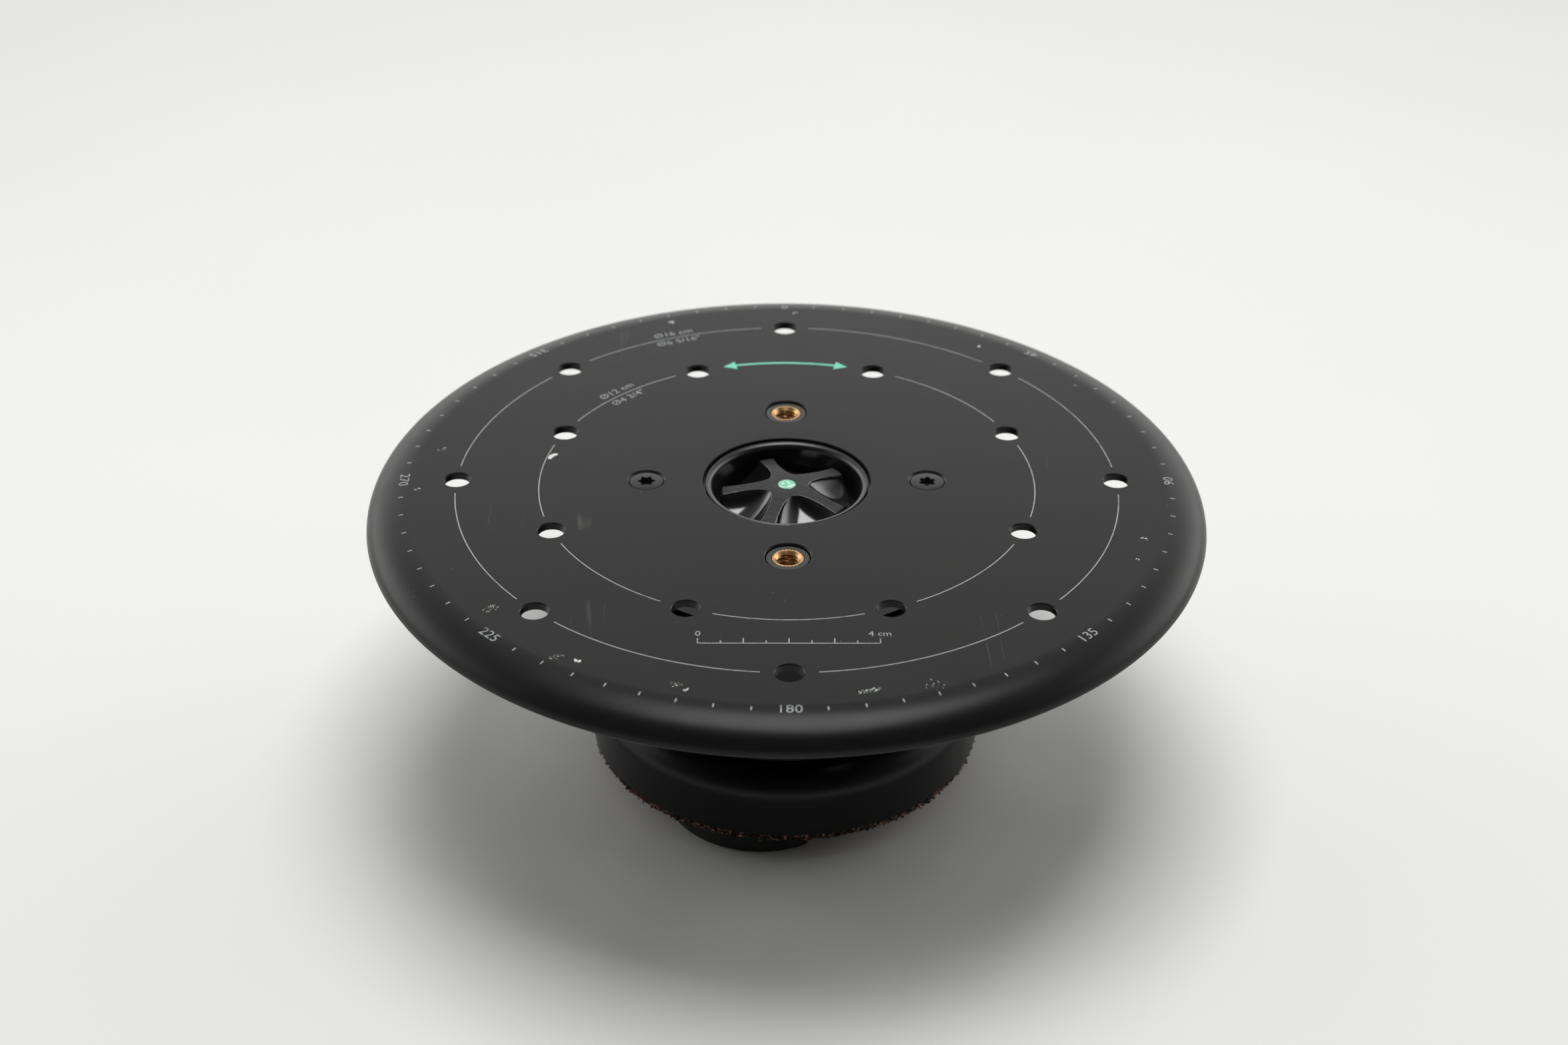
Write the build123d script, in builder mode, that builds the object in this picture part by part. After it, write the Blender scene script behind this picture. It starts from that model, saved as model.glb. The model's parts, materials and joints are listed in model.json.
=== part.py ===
from build123d import *
import math
import os

os.makedirs("parts", exist_ok=True)

# Sculpting turntable: a motorised round display turntable.
# All sizes are in mm. Heights are above the floor, the dial turns about Z and its 180 mark faces -Y.

# Platter: a pressed disc with a rolled-down edge
platter_top = 78.5
platter_radius = 101.5
platter_sheet = 1.8
platter_under = platter_top - platter_sheet
rim_width = 10.4
rim_curve = 6.6
rim_drop = 7.0
lip_round = 0.8
centre_hole_radius = 20.35
fixing_hole_radius = 3.15
fixing_hole_count = 8
outer_circle_radius = 80.0
inner_circle_radius = 60.0
hole_bevel = 0.3

# Hub: the moulded carrier under the platter
hub_low = 65.6
hub_radius = 45.0
hub_wall = 2.5
hub_deck = 3.0
hub_rib = 2.0
hub_rib_count = 8
well_top = platter_top - 0.5
well_outer_radius = 19.8
well_radius = 18.1
well_floor = 68.6
well_lip_round = 0.25
well_mouth_round = 1.4
stud_clearance_radius = 5.2
pad_thickness = 1.0
pad_margin = 1.0
boss_overlap = 1.0

# 1/4"-20 inserts and M4 platter screws
insert_offset = 34.0
insert_radius = 3.85
insert_length = 10.0
insert_bore_radius = 2.55
insert_mouth_chamfer = 0.65
spigot_radius = 5.0
spigot_hole_radius = 5.35
insert_boss_radius = 7.0
insert_relief_radius = 3.3
platter_screw_offset = 34.1
platter_screw_radius = 2.0
platter_screw_head = 4.1
platter_screw_land = 0.3
platter_screw_low = 67.5
countersink_radius = 4.7
screw_boss_radius = 5.0
screw_socket_length = 4.0
screw_socket_width = 1.15
screw_socket_depth = 1.6
cross_slot_length = 3.4
cross_slot_width = 0.8

# Clamp knob and its 3/8"-16 stud
knob_top = platter_top - 1.2
knob_low = 69.65
knob_flat_radius = 5.0
knob_rim_radius = 15.0
knob_rim_top = 75.2
knob_skirt_radius = 16.2
knob_scoop_count = 5
knob_scoop_start = 0.5
knob_scoop_floor = 71.6
knob_scoop_inner = 5.3
knob_scoop_half = [(19.0, 9.9), (15.0, 7.6), (9.6, 4.1)]
knob_crown = 0.35
dot_radius = 2.15
dot_depth = 0.4
dot_proud = 0.05
stud_radius = 4.7
stud_low = 49.5
stud_top = 71.3
stud_bore_radius = 4.76
stud_chamfer = 0.8
washer_radius = 13.0
washer_bore_radius = 4.78
washer_thickness = 1.0

# Rotating top of the drive unit
disc_top = hub_low - pad_thickness
disc_thickness = 4.0
disc_low = disc_top - disc_thickness
disc_radius = 45.5
disc_round = 0.8
spindle_flange_radius = 14.0
spindle_flange = 3.0
spindle_shoulder_radius = 10.2
spindle_low = 36.4
spindle_flats = 15.0
spindle_blind = 44.0
spindle_screw_circle = 11.0
spindle_screw_radius = 1.5
spindle_screw_head = 2.9
spindle_screw_low = 57.9
spindle_screw_cone = spindle_screw_head - spindle_screw_radius
spindle_slot_depth = 0.6
circlip_low = 37.0
circlip_thickness = 0.9
circlip_groove_radius = 7.0
circlip_radius = 9.6
circlip_gap_width = 8.0
circlip_gap_depth = 11.2

# Ball bearing, 17 x 30 x 7
bearing_low = 46.5
bearing_width = 7.0
bearing_bore_radius = 8.5
bearing_outer_radius = 15.0
bearing_ball_radius = 1.9
bearing_ball_circle = 11.75
bearing_ball_count = 9
bearing_groove_radius = 1.95
bearing_inner_land = 10.4
bearing_outer_land = 13.1
cage_inner_radius = 11.1
cage_outer_radius = 12.4
cage_width = 5.4
cage_pocket_radius = 2.0
bearing_mid = bearing_low + bearing_width / 2

# Gear train: motor pinion -> compound gear -> output gear
pressure_angle = math.radians(25)
backlash = 0.10
addendum_factor = 0.8
dedendum_factor = 1.1
output_module = 0.6
output_teeth = 72
small_teeth = 12
motor_module = 0.5
large_teeth = 48
pinion_teeth = 12
gear_centre = output_module * (output_teeth + small_teeth) / 2
motor_centre = motor_module * (large_teeth + pinion_teeth) / 2
output_gear_low = 38.5
output_gear_face = 3.5
output_gear_hub_low = 38.0
gear_window_circle = 15.55
gear_window_radius = 3.2
gear_window_count = 6
large_gear_low = 34.5
large_gear_face = 3.0
compound_low = 33.6
compound_top = 42.9
small_gear_top = 42.2
compound_hub_radius = 2.6
gear_pin_radius = 1.5
gear_pin_low = 32.3
gear_bore_radius = 1.55
gear_clip_low = 32.95
gear_clip_thickness = 0.5
gear_clip_groove_radius = 1.1
gear_clip_radius = 3.0
gear_clip_gap = 1.6

# Play between parts: round a turning shaft, and round a part that only locates
running_gap = 0.05
locating_gap = 0.1

# Motor
motor_radius = 31.5
motor_can_radius = 8.0
motor_can_height = 14.0
motor_can_round = 1.0
motor_flange = 0.8
motor_flange_length = 27.0
motor_flange_width = 6.0
motor_screw_offset = 11.0
motor_screw_radius = 1.0
motor_screw_head = 1.9
motor_screw_head_height = 1.3
motor_screw_relief = 0.2
motor_boss_radius = 3.0
motor_boss_length = 1.5
motor_shaft_radius = 1.0
motor_shaft_low = 33.9
motor_shaft_end = 2.0
motor_bore_end = 1.5
pinion_low = 34.2
pinion_top = 38.0

# Chassis and drive housing
chassis_low = 43.0
chassis_thickness = 2.5
chassis_top = chassis_low + chassis_thickness
chassis_radius = 42.8
chassis_boss_radius = 18.5
chassis_bore_radius = 13.6
chassis_screw_circle = 38.5
chassis_screw_angle = 80
chassis_screw_radius = 1.5
chassis_screw_head = 2.8
chassis_screw_low = 35.0
chassis_screw_head_height = 2.0
chassis_slot_depth = 1.0
chassis_post_wall = 1.0
lightening_circle = 29.0
lightening_radius = 6.5
lightening_start = 140
lightening_span = 130
housing_radius = 46.0
housing_wall = 2.5
housing_low = 27.5
housing_top = 60.0
housing_floor = 31.5
housing_round = 1.2
socket_boss_radius = 9.0
socket_boss_top = 35.8
socket_roof = 0.8

# Base drum
base_low = 8.2
base_top = 26.0
base_radius = 49.4
base_wall = 1.9
base_deck = 3.0
base_round = 8.0
base_inner_round = 3.0
base_under = base_top - base_deck
base_pad_inner = 12.0
base_pad_outer = 41.0
clamp_screw_head_radius = 8.0
clamp_screw_head = 5.5
clamp_screw_radius = 4.72
clamp_screw_top = 34.8
clamp_screw_round = 0.6
clamp_socket_radius = 4.0
clamp_socket_depth = 3.5
base_plate_radius = 47.3
base_plate_thickness = 2.0
base_screw_places = [(30, 0), (-30, 0), (0, -42)]
base_screw_radius = 1.5
base_screw_head = 2.85
base_screw_cone = base_screw_head - base_screw_radius
base_screw_top = 17.0
base_slot_depth = 0.8
base_boss_radius = 3.5
cork_thickness = 2.2
cork_radius = 48.8
cork_inner_radius = 20.0
cork_low = base_low - cork_thickness
foot_curve = 24.0
foot_curve_centre = 22.9
foot_inner = 33.0
foot_outer = 48.0
foot_square_end = 16.8
foot_angles = [-106, 14, 134]
foot_corner = 1.5
foot_round = 0.8

# Electronics in the base
board_low = 12.0
board_thickness = 1.6
board_top = board_low + board_thickness
board_width = 52.0
board_front = 14.0
board_back = 38.0
board_round = 2.0
board_post_radius = 2.6
board_screw_radius = 1.0
board_screw_head = 1.9
board_screw_head_height = 1.3
board_screw_reach = 4.5
board_pilot_depth = 5.0
board_post_places = [(-22.5, 17.5), (9, 17), (-10, 34.5), (22.5, 34)]
battery_size = (50.0, 25.0, 6.8)
battery_centre = (0, -24.5)
battery_low = 10.4
battery_round = 2.0
# Each chip: x, y, length, width and height
chips = [
    (0, 22, 10, 10, 1.2),
    (-14, 25, 6, 5, 1.6),
    (13, 22, 5, 4, 1.6),
    (-6, 31, 3.2, 2.6, 1.0),
    (5, 31.5, 3.2, 2.6, 1.0),
]
usb_x = -18.0
usb_width = 9.0
usb_height = 3.2
usb_wall = 0.35
usb_front = 37.5
usb_mouth = 45.9
usb_depth = 6.0
usb_tongue_width = 6.5
usb_tongue = 0.7
usb_slot_margin = 0.5
light_x = 18.0
light_z = 16.0
light_radius = 1.5
light_front = 38.5
light_end = 46.7
light_foot = 3.0
button_z = 16.0
button_radius = 4.5
button_clearance = 0.1
button_proud = 0.9
button_flange_radius = 5.6
button_flange_back = 46.9
button_flange = 1.0
button_stem_radius = 1.5
button_stem_end = 43.5
button_round = 0.6
switch_size = (6.4, 4.5, 6.6)
switch_front = 37.0
switch_plunger_radius = 1.2
switch_plunger_end = 42.6
switch_plunger_back = 38.0
cable_radius = 1.2
cable_hole_radius = 2.0
cable_circle = 41.4
cable_bend = 1.6
cable_top = 50.0
plug_size = (10.0, 8.0, 4.0)
plug_x = 22.0

BOTTOM = (Align.CENTER, Align.CENTER, Align.MIN)


def disc(radius, low, high, mode=Mode.ADD):
    """Adds or cuts a disc about the local Z axis, from height low to height high."""
    with Locations((0, 0, low)):
        Cylinder(radius, high - low, align=BOTTOM, mode=mode)


def ring(outer, inner, low, high):
    """Adds a plain ring about the local Z axis."""
    disc(outer, low, high)
    disc(inner, low, high, mode=Mode.SUBTRACT)


def cone(low_radius, high_radius, low, high, mode=Mode.ADD):
    """Adds or cuts a cone about the local Z axis, from height low to height high."""
    with Locations((0, 0, low)):
        Cone(low_radius, high_radius, high - low, align=BOTTOM, mode=mode)


def cross_recess(depth):
    """Cuts a screwdriver's cross recess, centred on the local origin."""
    Box(cross_slot_length, cross_slot_width, 2 * depth, mode=Mode.SUBTRACT)
    Box(cross_slot_width, cross_slot_length, 2 * depth, mode=Mode.SUBTRACT)


def polar_point(radius, angle):
    """The point at a radius and an angle in degrees about the spin axis."""
    return (radius * math.cos(math.radians(angle)), radius * math.sin(math.radians(angle)))


def round_edges(part, radius):
    """The circular edges of one radius."""
    return part.edges().filter_by(GeomType.CIRCLE).filter_by(lambda e: abs(e.radius - radius) < 0.01)


def flank_angle(radius, module, teeth):
    """Half the angle that an involute tooth fills at a radius."""
    pitch = module * teeth / 2
    base = pitch * math.cos(pressure_angle)
    at_radius = math.acos(min(1.0, base / radius))
    half_at_pitch = (math.pi * module / 2 - backlash / 2) / (2 * pitch)
    involute_pitch = math.tan(pressure_angle) - pressure_angle
    return half_at_pitch + involute_pitch - (math.tan(at_radius) - at_radius)


def gear_outline(module, teeth, turn=0.0, flank_points=4):
    """An involute gear's outline, with the middle of a tooth at the angle turn, in degrees."""
    pitch = module * teeth / 2
    tip = pitch + addendum_factor * module
    root = pitch - dedendum_factor * module
    flank_low = max(root + 0.01, pitch * math.cos(pressure_angle))
    radii = [flank_low + (tip - flank_low) * i / (flank_points - 1) for i in range(flank_points)]

    def flank(side):
        angles = [side * flank_angle(radius, module, teeth) for radius in radii]
        return [(r * math.cos(angle), r * math.sin(angle)) for r, angle in zip(radii, angles)]

    rising, falling = flank(-1), flank(1)
    with BuildSketch() as tooth:
        with BuildLine():
            Spline(*rising)
            Line(rising[-1], falling[-1])
            Spline(*falling)
            inside = root - module
            Polyline(falling[0], (inside, falling[0][1]), (inside, rising[0][1]), rising[0])
        make_face()
    with BuildSketch() as outline:
        Circle(root)
        with PolarLocations(0, teeth, start_angle=turn):
            add(tooth.sketch)
    return outline.sketch


# Angles that put every pair of gears in mesh at rest: a tooth of one faces a gap of the other.
motor_angle = math.degrees(
    math.acos((gear_centre**2 + motor_radius**2 - motor_centre**2) / (2 * gear_centre * motor_radius))
)
motor_place = polar_point(motor_radius, motor_angle)
gear_place = (gear_centre, 0)
mesh_angle = math.degrees(math.atan2(motor_place[1], motor_place[0] - gear_centre))
small_turn = 180 / small_teeth
pinion_turn = mesh_angle + 180 + 180 / pinion_teeth
output_outline = gear_outline(output_module, output_teeth)
small_outline = gear_outline(output_module, small_teeth, small_turn)
large_outline = gear_outline(motor_module, large_teeth, mesh_angle)
pinion_outline = gear_outline(motor_module, pinion_teeth, pinion_turn)

insert_places = [(0, insert_offset), (0, -insert_offset)]
platter_screw_places = [(platter_screw_offset, 0), (-platter_screw_offset, 0)]
cable_place = polar_point(cable_circle, motor_angle)


# ---------------------------------------------------------------- what turns with the platter

with BuildPart() as platter:
    roll_start = platter_radius - rim_width
    roll_centre = (roll_start, platter_top - rim_curve)
    with BuildSketch(Plane.XZ):
        with BuildLine():
            Line((centre_hole_radius, platter_top), (roll_start, platter_top))
            EllipticalCenterArc(roll_centre, rim_width, rim_curve, arc_size=90)
            Polyline(
                (platter_radius, platter_top - rim_curve),
                (platter_radius, platter_top - rim_drop),
                (platter_radius - platter_sheet, platter_top - rim_drop),
                (platter_radius - platter_sheet, platter_top - rim_curve),
            )
            EllipticalCenterArc(
                roll_centre, rim_width - platter_sheet, rim_curve - platter_sheet, arc_size=90
            )
            Polyline(
                (roll_start, platter_under),
                (centre_hole_radius, platter_under),
                (centre_hole_radius, platter_top),
            )
        make_face()
    revolve(axis=Axis.Z)
    fillet(platter.edges().group_by(Axis.Z)[0], lip_round)
    with PolarLocations(outer_circle_radius, fixing_hole_count):
        disc(fixing_hole_radius, platter_under, platter_top, mode=Mode.SUBTRACT)
    with PolarLocations(inner_circle_radius, fixing_hole_count, start_angle=180 / fixing_hole_count):
        disc(fixing_hole_radius, platter_under, platter_top, mode=Mode.SUBTRACT)
    with Locations(*insert_places):
        disc(spigot_hole_radius, platter_under, platter_top, mode=Mode.SUBTRACT)
    chamfer(round_edges(platter, fixing_hole_radius).group_by(Axis.Z)[-1], hole_bevel)
    chamfer(round_edges(platter, spigot_hole_radius).group_by(Axis.Z)[-1], hole_bevel)
    chamfer(round_edges(platter, centre_hole_radius).group_by(Axis.Z)[-1], hole_bevel)
    with Locations(*platter_screw_places):
        cone(
            countersink_radius - platter_sheet,
            countersink_radius,
            platter_under,
            platter_top,
            mode=Mode.SUBTRACT,
        )

screw_land_low = platter_top - (countersink_radius - platter_screw_head)
screw_cone_low = screw_land_low - (platter_screw_head - platter_screw_radius)

with BuildPart() as hub:
    disc(hub_radius, hub_low, platter_under)
    disc(hub_radius - hub_wall, hub_low, platter_under - hub_deck, mode=Mode.SUBTRACT)
    disc(well_outer_radius, hub_low, well_top)
    rib_length = hub_radius - hub_wall - well_outer_radius + boss_overlap
    rib_middle = (hub_radius - hub_wall + well_outer_radius) / 2
    with PolarLocations(rib_middle, hub_rib_count, start_angle=180 / hub_rib_count):
        with Locations((0, 0, hub_low)):
            Box(rib_length, hub_rib, platter_under - hub_deck - hub_low, align=BOTTOM)
    with Locations(*insert_places):
        disc(insert_boss_radius, hub_low, platter_under - boss_overlap)
        disc(spigot_radius, platter_under - boss_overlap, well_top)
    with Locations(*platter_screw_places):
        disc(screw_boss_radius, hub_low, platter_under - boss_overlap)
    disc(well_radius, well_floor, well_top, mode=Mode.SUBTRACT)
    disc(stud_clearance_radius, hub_low, well_floor, mode=Mode.SUBTRACT)
    with Locations(*insert_places):
        disc(insert_radius, well_top - insert_length, well_top, mode=Mode.SUBTRACT)
        disc(insert_relief_radius, hub_low, well_top - insert_length, mode=Mode.SUBTRACT)
    with Locations(*platter_screw_places):
        disc(platter_screw_radius, platter_screw_low, platter_under, mode=Mode.SUBTRACT)
        cone(
            platter_screw_radius,
            countersink_radius - platter_sheet,
            screw_cone_low,
            platter_under,
            mode=Mode.SUBTRACT,
        )
    fillet(round_edges(hub, well_radius).group_by(Axis.Z)[-1], well_mouth_round)
    fillet(round_edges(hub, well_outer_radius).group_by(Axis.Z)[-1], well_lip_round)

with BuildPart() as threaded_inserts:
    with Locations(*insert_places):
        ring(insert_radius, insert_bore_radius, well_top - insert_length, well_top)
    mouths = round_edges(threaded_inserts, insert_bore_radius).group_by(Axis.Z)[-1]
    chamfer(mouths, insert_mouth_chamfer)

with BuildPart() as platter_screws:
    with Locations(*platter_screw_places):
        disc(platter_screw_radius, platter_screw_low, screw_cone_low)
        cone(platter_screw_radius, platter_screw_head, screw_cone_low, screw_land_low)
        disc(platter_screw_head, screw_land_low, screw_land_low + platter_screw_land)
        with Locations((0, 0, screw_land_low + platter_screw_land)):
            with PolarLocations(0, 3):
                Box(screw_socket_length, screw_socket_width, 2 * screw_socket_depth, mode=Mode.SUBTRACT)

with BuildPart() as hub_pad:
    ring(hub_radius - pad_margin, well_outer_radius + pad_margin, disc_top, hub_low)

with BuildPart() as drive_disc:
    ring(disc_radius, stud_clearance_radius, disc_low, disc_top)
    fillet(round_edges(drive_disc, disc_radius), disc_round)
    with PolarLocations(spindle_screw_circle, 3):
        disc(spindle_screw_radius, disc_low, disc_top, mode=Mode.SUBTRACT)
        cone(
            spindle_screw_radius,
            spindle_screw_head,
            disc_top - spindle_screw_cone,
            disc_top,
            mode=Mode.SUBTRACT,
        )

with BuildPart() as spindle_screws:
    with PolarLocations(spindle_screw_circle, 3):
        disc(spindle_screw_radius, spindle_screw_low, disc_top - spindle_screw_cone)
        cone(spindle_screw_radius, spindle_screw_head, disc_top - spindle_screw_cone, disc_top)
        with Locations((0, 0, disc_top)):
            cross_recess(spindle_slot_depth)

with BuildPart() as output_spindle:
    with BuildSketch(Plane.XY.offset(spindle_low)):
        Circle(bearing_bore_radius)
        Rectangle(2 * bearing_bore_radius, spindle_flats, mode=Mode.INTERSECT)
    extrude(amount=bearing_low - spindle_low)
    disc(bearing_bore_radius, bearing_low, bearing_low + bearing_width)
    disc(spindle_shoulder_radius, bearing_low + bearing_width, disc_low - spindle_flange)
    disc(spindle_flange_radius, disc_low - spindle_flange, disc_low)
    disc(stud_bore_radius, spindle_blind, disc_low, mode=Mode.SUBTRACT)
    with PolarLocations(spindle_screw_circle, 3):
        disc(spindle_screw_radius, spindle_screw_low, disc_low, mode=Mode.SUBTRACT)
    with BuildSketch(Plane.XY.offset(circlip_low)):
        Circle(bearing_bore_radius)
        Circle(circlip_groove_radius, mode=Mode.SUBTRACT)
    extrude(amount=circlip_thickness, mode=Mode.SUBTRACT)

with BuildPart() as output_gear:
    with BuildSketch(Plane.XY.offset(output_gear_low)):
        add(output_outline)
        with PolarLocations(gear_window_circle, gear_window_count):
            Circle(gear_window_radius, mode=Mode.SUBTRACT)
    extrude(amount=output_gear_face)
    disc(spindle_shoulder_radius, output_gear_hub_low, bearing_low)
    with BuildSketch(Plane.XY.offset(output_gear_hub_low)):
        Circle(bearing_bore_radius)
        Rectangle(2 * bearing_bore_radius, spindle_flats, mode=Mode.INTERSECT)
    extrude(amount=bearing_low - output_gear_hub_low, mode=Mode.SUBTRACT)

with BuildPart() as shaft_circlip:
    ring(circlip_radius, circlip_groove_radius, circlip_low, circlip_low + circlip_thickness)
    with Locations((0, -circlip_radius, circlip_low)):
        Box(circlip_gap_width, circlip_gap_depth, 2 * circlip_thickness, mode=Mode.SUBTRACT)

with BuildPart() as bearing_inner_race:
    ring(bearing_inner_land, bearing_bore_radius, bearing_low, bearing_low + bearing_width)
    with Locations((0, 0, bearing_mid)):
        Torus(bearing_ball_circle, bearing_groove_radius, mode=Mode.SUBTRACT)


# ---------------------------------------------------------------- clamp knob

# The plan of one scoop between two ribs: round towards the middle, wide open at the skirt.
scoop_mirrored = [(x, -y) for x, y in reversed(knob_scoop_half)]
with BuildSketch() as scoop:
    with BuildLine():
        Spline(*knob_scoop_half, (knob_scoop_inner, 0), *scoop_mirrored)
        Line(scoop_mirrored[-1], knob_scoop_half[0])
    make_face()

with BuildPart() as clamp_knob:
    with BuildSketch(Plane.XZ):
        with BuildLine():
            Polyline(
                (0, knob_top),
                (0, knob_low),
                (knob_skirt_radius, knob_low),
                (knob_rim_radius, knob_rim_top),
            )
            ThreePointArc(
                (knob_rim_radius, knob_rim_top),
                ((knob_rim_radius + knob_flat_radius) / 2, (knob_rim_top + knob_top) / 2 + knob_crown),
                (knob_flat_radius, knob_top),
            )
            Line((knob_flat_radius, knob_top), (0, knob_top))
        make_face()
    revolve(axis=Axis.Z)
    with BuildSketch(Plane.XY.offset(knob_scoop_floor)):
        with PolarLocations(0, knob_scoop_count, start_angle=knob_scoop_start):
            add(scoop.sketch)
    extrude(amount=knob_top - knob_scoop_floor, mode=Mode.SUBTRACT)
    disc(stud_radius, knob_low, stud_top, mode=Mode.SUBTRACT)
    disc(dot_radius, knob_top - dot_depth, knob_top, mode=Mode.SUBTRACT)

with BuildPart() as knob_stud:
    disc(stud_radius, stud_low, stud_top)
    chamfer(knob_stud.edges().group_by(Axis.Z)[0], stud_chamfer)

with BuildPart() as knob_dot:
    disc(dot_radius, knob_top - dot_depth, knob_top + dot_proud)

with BuildPart() as knob_washer:
    ring(washer_radius, washer_bore_radius, well_floor, well_floor + washer_thickness)


# ---------------------------------------------------------------- bearing cage and balls

with BuildPart() as bearing_balls:
    with PolarLocations(bearing_ball_circle, bearing_ball_count):
        with Locations((0, 0, bearing_mid)):
            Sphere(bearing_ball_radius)

with BuildPart() as bearing_cage:
    ring(cage_outer_radius, cage_inner_radius, bearing_mid - cage_width / 2, bearing_mid + cage_width / 2)
    with PolarLocations(bearing_ball_circle, bearing_ball_count):
        with Locations(Location((0, 0, bearing_mid), (0, 90, 0))):
            Cylinder(cage_pocket_radius, 2 * bearing_ball_radius, mode=Mode.SUBTRACT)


# ---------------------------------------------------------------- intermediate gear and motor shaft

with BuildPart() as compound_gear:
    with BuildSketch(Plane.XY.offset(large_gear_low)):
        with Locations(gear_place):
            add(large_outline)
    extrude(amount=large_gear_face)
    with BuildSketch(Plane.XY.offset(large_gear_low + large_gear_face)):
        with Locations(gear_place):
            add(small_outline)
    extrude(amount=small_gear_top - large_gear_low - large_gear_face)
    with Locations(gear_place):
        disc(compound_hub_radius, compound_low, large_gear_low)
        disc(compound_hub_radius, small_gear_top, compound_top)
        disc(gear_bore_radius, compound_low, compound_top, mode=Mode.SUBTRACT)

with BuildPart() as motor_pinion:
    with BuildSketch(Plane.XY.offset(pinion_low)):
        with Locations(motor_place):
            add(pinion_outline)
            Circle(motor_shaft_radius, mode=Mode.SUBTRACT)
    extrude(amount=pinion_top - pinion_low)

with BuildPart() as motor_shaft:
    with Locations(motor_place):
        disc(motor_shaft_radius, motor_shaft_low, chassis_top + motor_can_height - motor_shaft_end)


# ---------------------------------------------------------------- fixed drive unit

with BuildPart() as bearing_outer_race:
    ring(bearing_outer_radius, bearing_outer_land, bearing_low, bearing_low + bearing_width)
    with Locations((0, 0, bearing_mid)):
        Torus(bearing_ball_circle, bearing_groove_radius, mode=Mode.SUBTRACT)

with BuildPart() as chassis:
    disc(chassis_radius, chassis_low, chassis_top)
    disc(chassis_boss_radius, chassis_top, bearing_low + bearing_width)
    disc(chassis_bore_radius, chassis_low, bearing_low, mode=Mode.SUBTRACT)
    disc(bearing_outer_radius, bearing_low, bearing_low + bearing_width, mode=Mode.SUBTRACT)
    with Locations(gear_place):
        disc(gear_pin_radius, chassis_low, chassis_top, mode=Mode.SUBTRACT)
    with Locations(motor_place):
        disc(motor_boss_radius + locating_gap, chassis_low, chassis_top, mode=Mode.SUBTRACT)
        with PolarLocations(motor_screw_offset, 2, start_angle=motor_angle + 90):
            disc(motor_screw_radius, chassis_low, chassis_top, mode=Mode.SUBTRACT)
    with PolarLocations(chassis_screw_circle, 3, start_angle=chassis_screw_angle):
        disc(chassis_screw_radius + locating_gap, chassis_low, chassis_top, mode=Mode.SUBTRACT)
    with Locations(cable_place):
        disc(cable_hole_radius, chassis_low, chassis_top, mode=Mode.SUBTRACT)
    with PolarLocations(
        lightening_circle, 3, start_angle=lightening_start, angular_range=lightening_span, endpoint=True
    ):
        disc(lightening_radius, chassis_low, chassis_top, mode=Mode.SUBTRACT)

with BuildPart() as chassis_screws:
    with PolarLocations(chassis_screw_circle, 3, start_angle=chassis_screw_angle):
        disc(chassis_screw_radius, chassis_screw_low, chassis_top)
        disc(chassis_screw_head, chassis_top, chassis_top + chassis_screw_head_height)
        with Locations((0, 0, chassis_top + chassis_screw_head_height)):
            cross_recess(chassis_slot_depth)

with BuildPart() as gear_pin:
    with Locations(gear_place):
        disc(gear_pin_radius, gear_pin_low, chassis_top)
    with BuildSketch(Plane.XY.offset(gear_clip_low)):
        with Locations(gear_place):
            Circle(gear_pin_radius)
            Circle(gear_clip_groove_radius, mode=Mode.SUBTRACT)
    extrude(amount=gear_clip_thickness, mode=Mode.SUBTRACT)

with BuildPart() as gear_clip:
    with Locations(gear_place):
        ring(gear_clip_radius, gear_clip_groove_radius, gear_clip_low, gear_clip_low + gear_clip_thickness)
        with Locations((gear_clip_radius, 0, gear_clip_low)):
            Box(2 * gear_clip_radius, gear_clip_gap, 2 * gear_clip_thickness, mode=Mode.SUBTRACT)

with BuildPart() as motor:
    with Locations(motor_place):
        disc(motor_can_radius, chassis_top, chassis_top + motor_can_height)
    fillet(motor.edges().group_by(Axis.Z)[-1], motor_can_round)
    with BuildSketch(Plane.XY.offset(chassis_top)):
        with Locations(Location((*motor_place, 0), (0, 0, motor_angle + 90))):
            SlotOverall(motor_flange_length, motor_flange_width)
            with PolarLocations(motor_screw_offset, 2):
                Circle(motor_screw_radius, mode=Mode.SUBTRACT)
    extrude(amount=motor_flange)
    with Locations(motor_place):
        disc(motor_boss_radius, chassis_top - motor_boss_length, chassis_top)
        disc(
            motor_shaft_radius + running_gap,
            chassis_top - motor_boss_length,
            chassis_top + motor_can_height - motor_bore_end,
            mode=Mode.SUBTRACT,
        )

motor_flange_top = chassis_top + motor_flange

with BuildPart() as motor_screws:
    with Locations(motor_place):
        with PolarLocations(motor_screw_offset, 2, start_angle=motor_angle + 90):
            disc(motor_screw_radius, chassis_low + motor_screw_relief, motor_flange_top)
            disc(motor_screw_head, motor_flange_top, motor_flange_top + motor_screw_head_height)

with BuildPart() as drive_housing:
    disc(housing_radius, housing_low, housing_top)
    fillet(drive_housing.edges().group_by(Axis.Z)[0], housing_round)
    disc(housing_radius - housing_wall, housing_floor, housing_top, mode=Mode.SUBTRACT)
    disc(socket_boss_radius, housing_floor, socket_boss_top)
    disc(stud_bore_radius, housing_low, socket_boss_top - socket_roof, mode=Mode.SUBTRACT)
    with PolarLocations(chassis_screw_circle, 3, start_angle=chassis_screw_angle):
        disc(chassis_screw_head + chassis_post_wall, housing_floor, chassis_low)
        disc(chassis_screw_radius, chassis_screw_low, chassis_low, mode=Mode.SUBTRACT)
    with Locations(cable_place):
        disc(cable_hole_radius, housing_low, housing_floor, mode=Mode.SUBTRACT)


# ---------------------------------------------------------------- base

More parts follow.
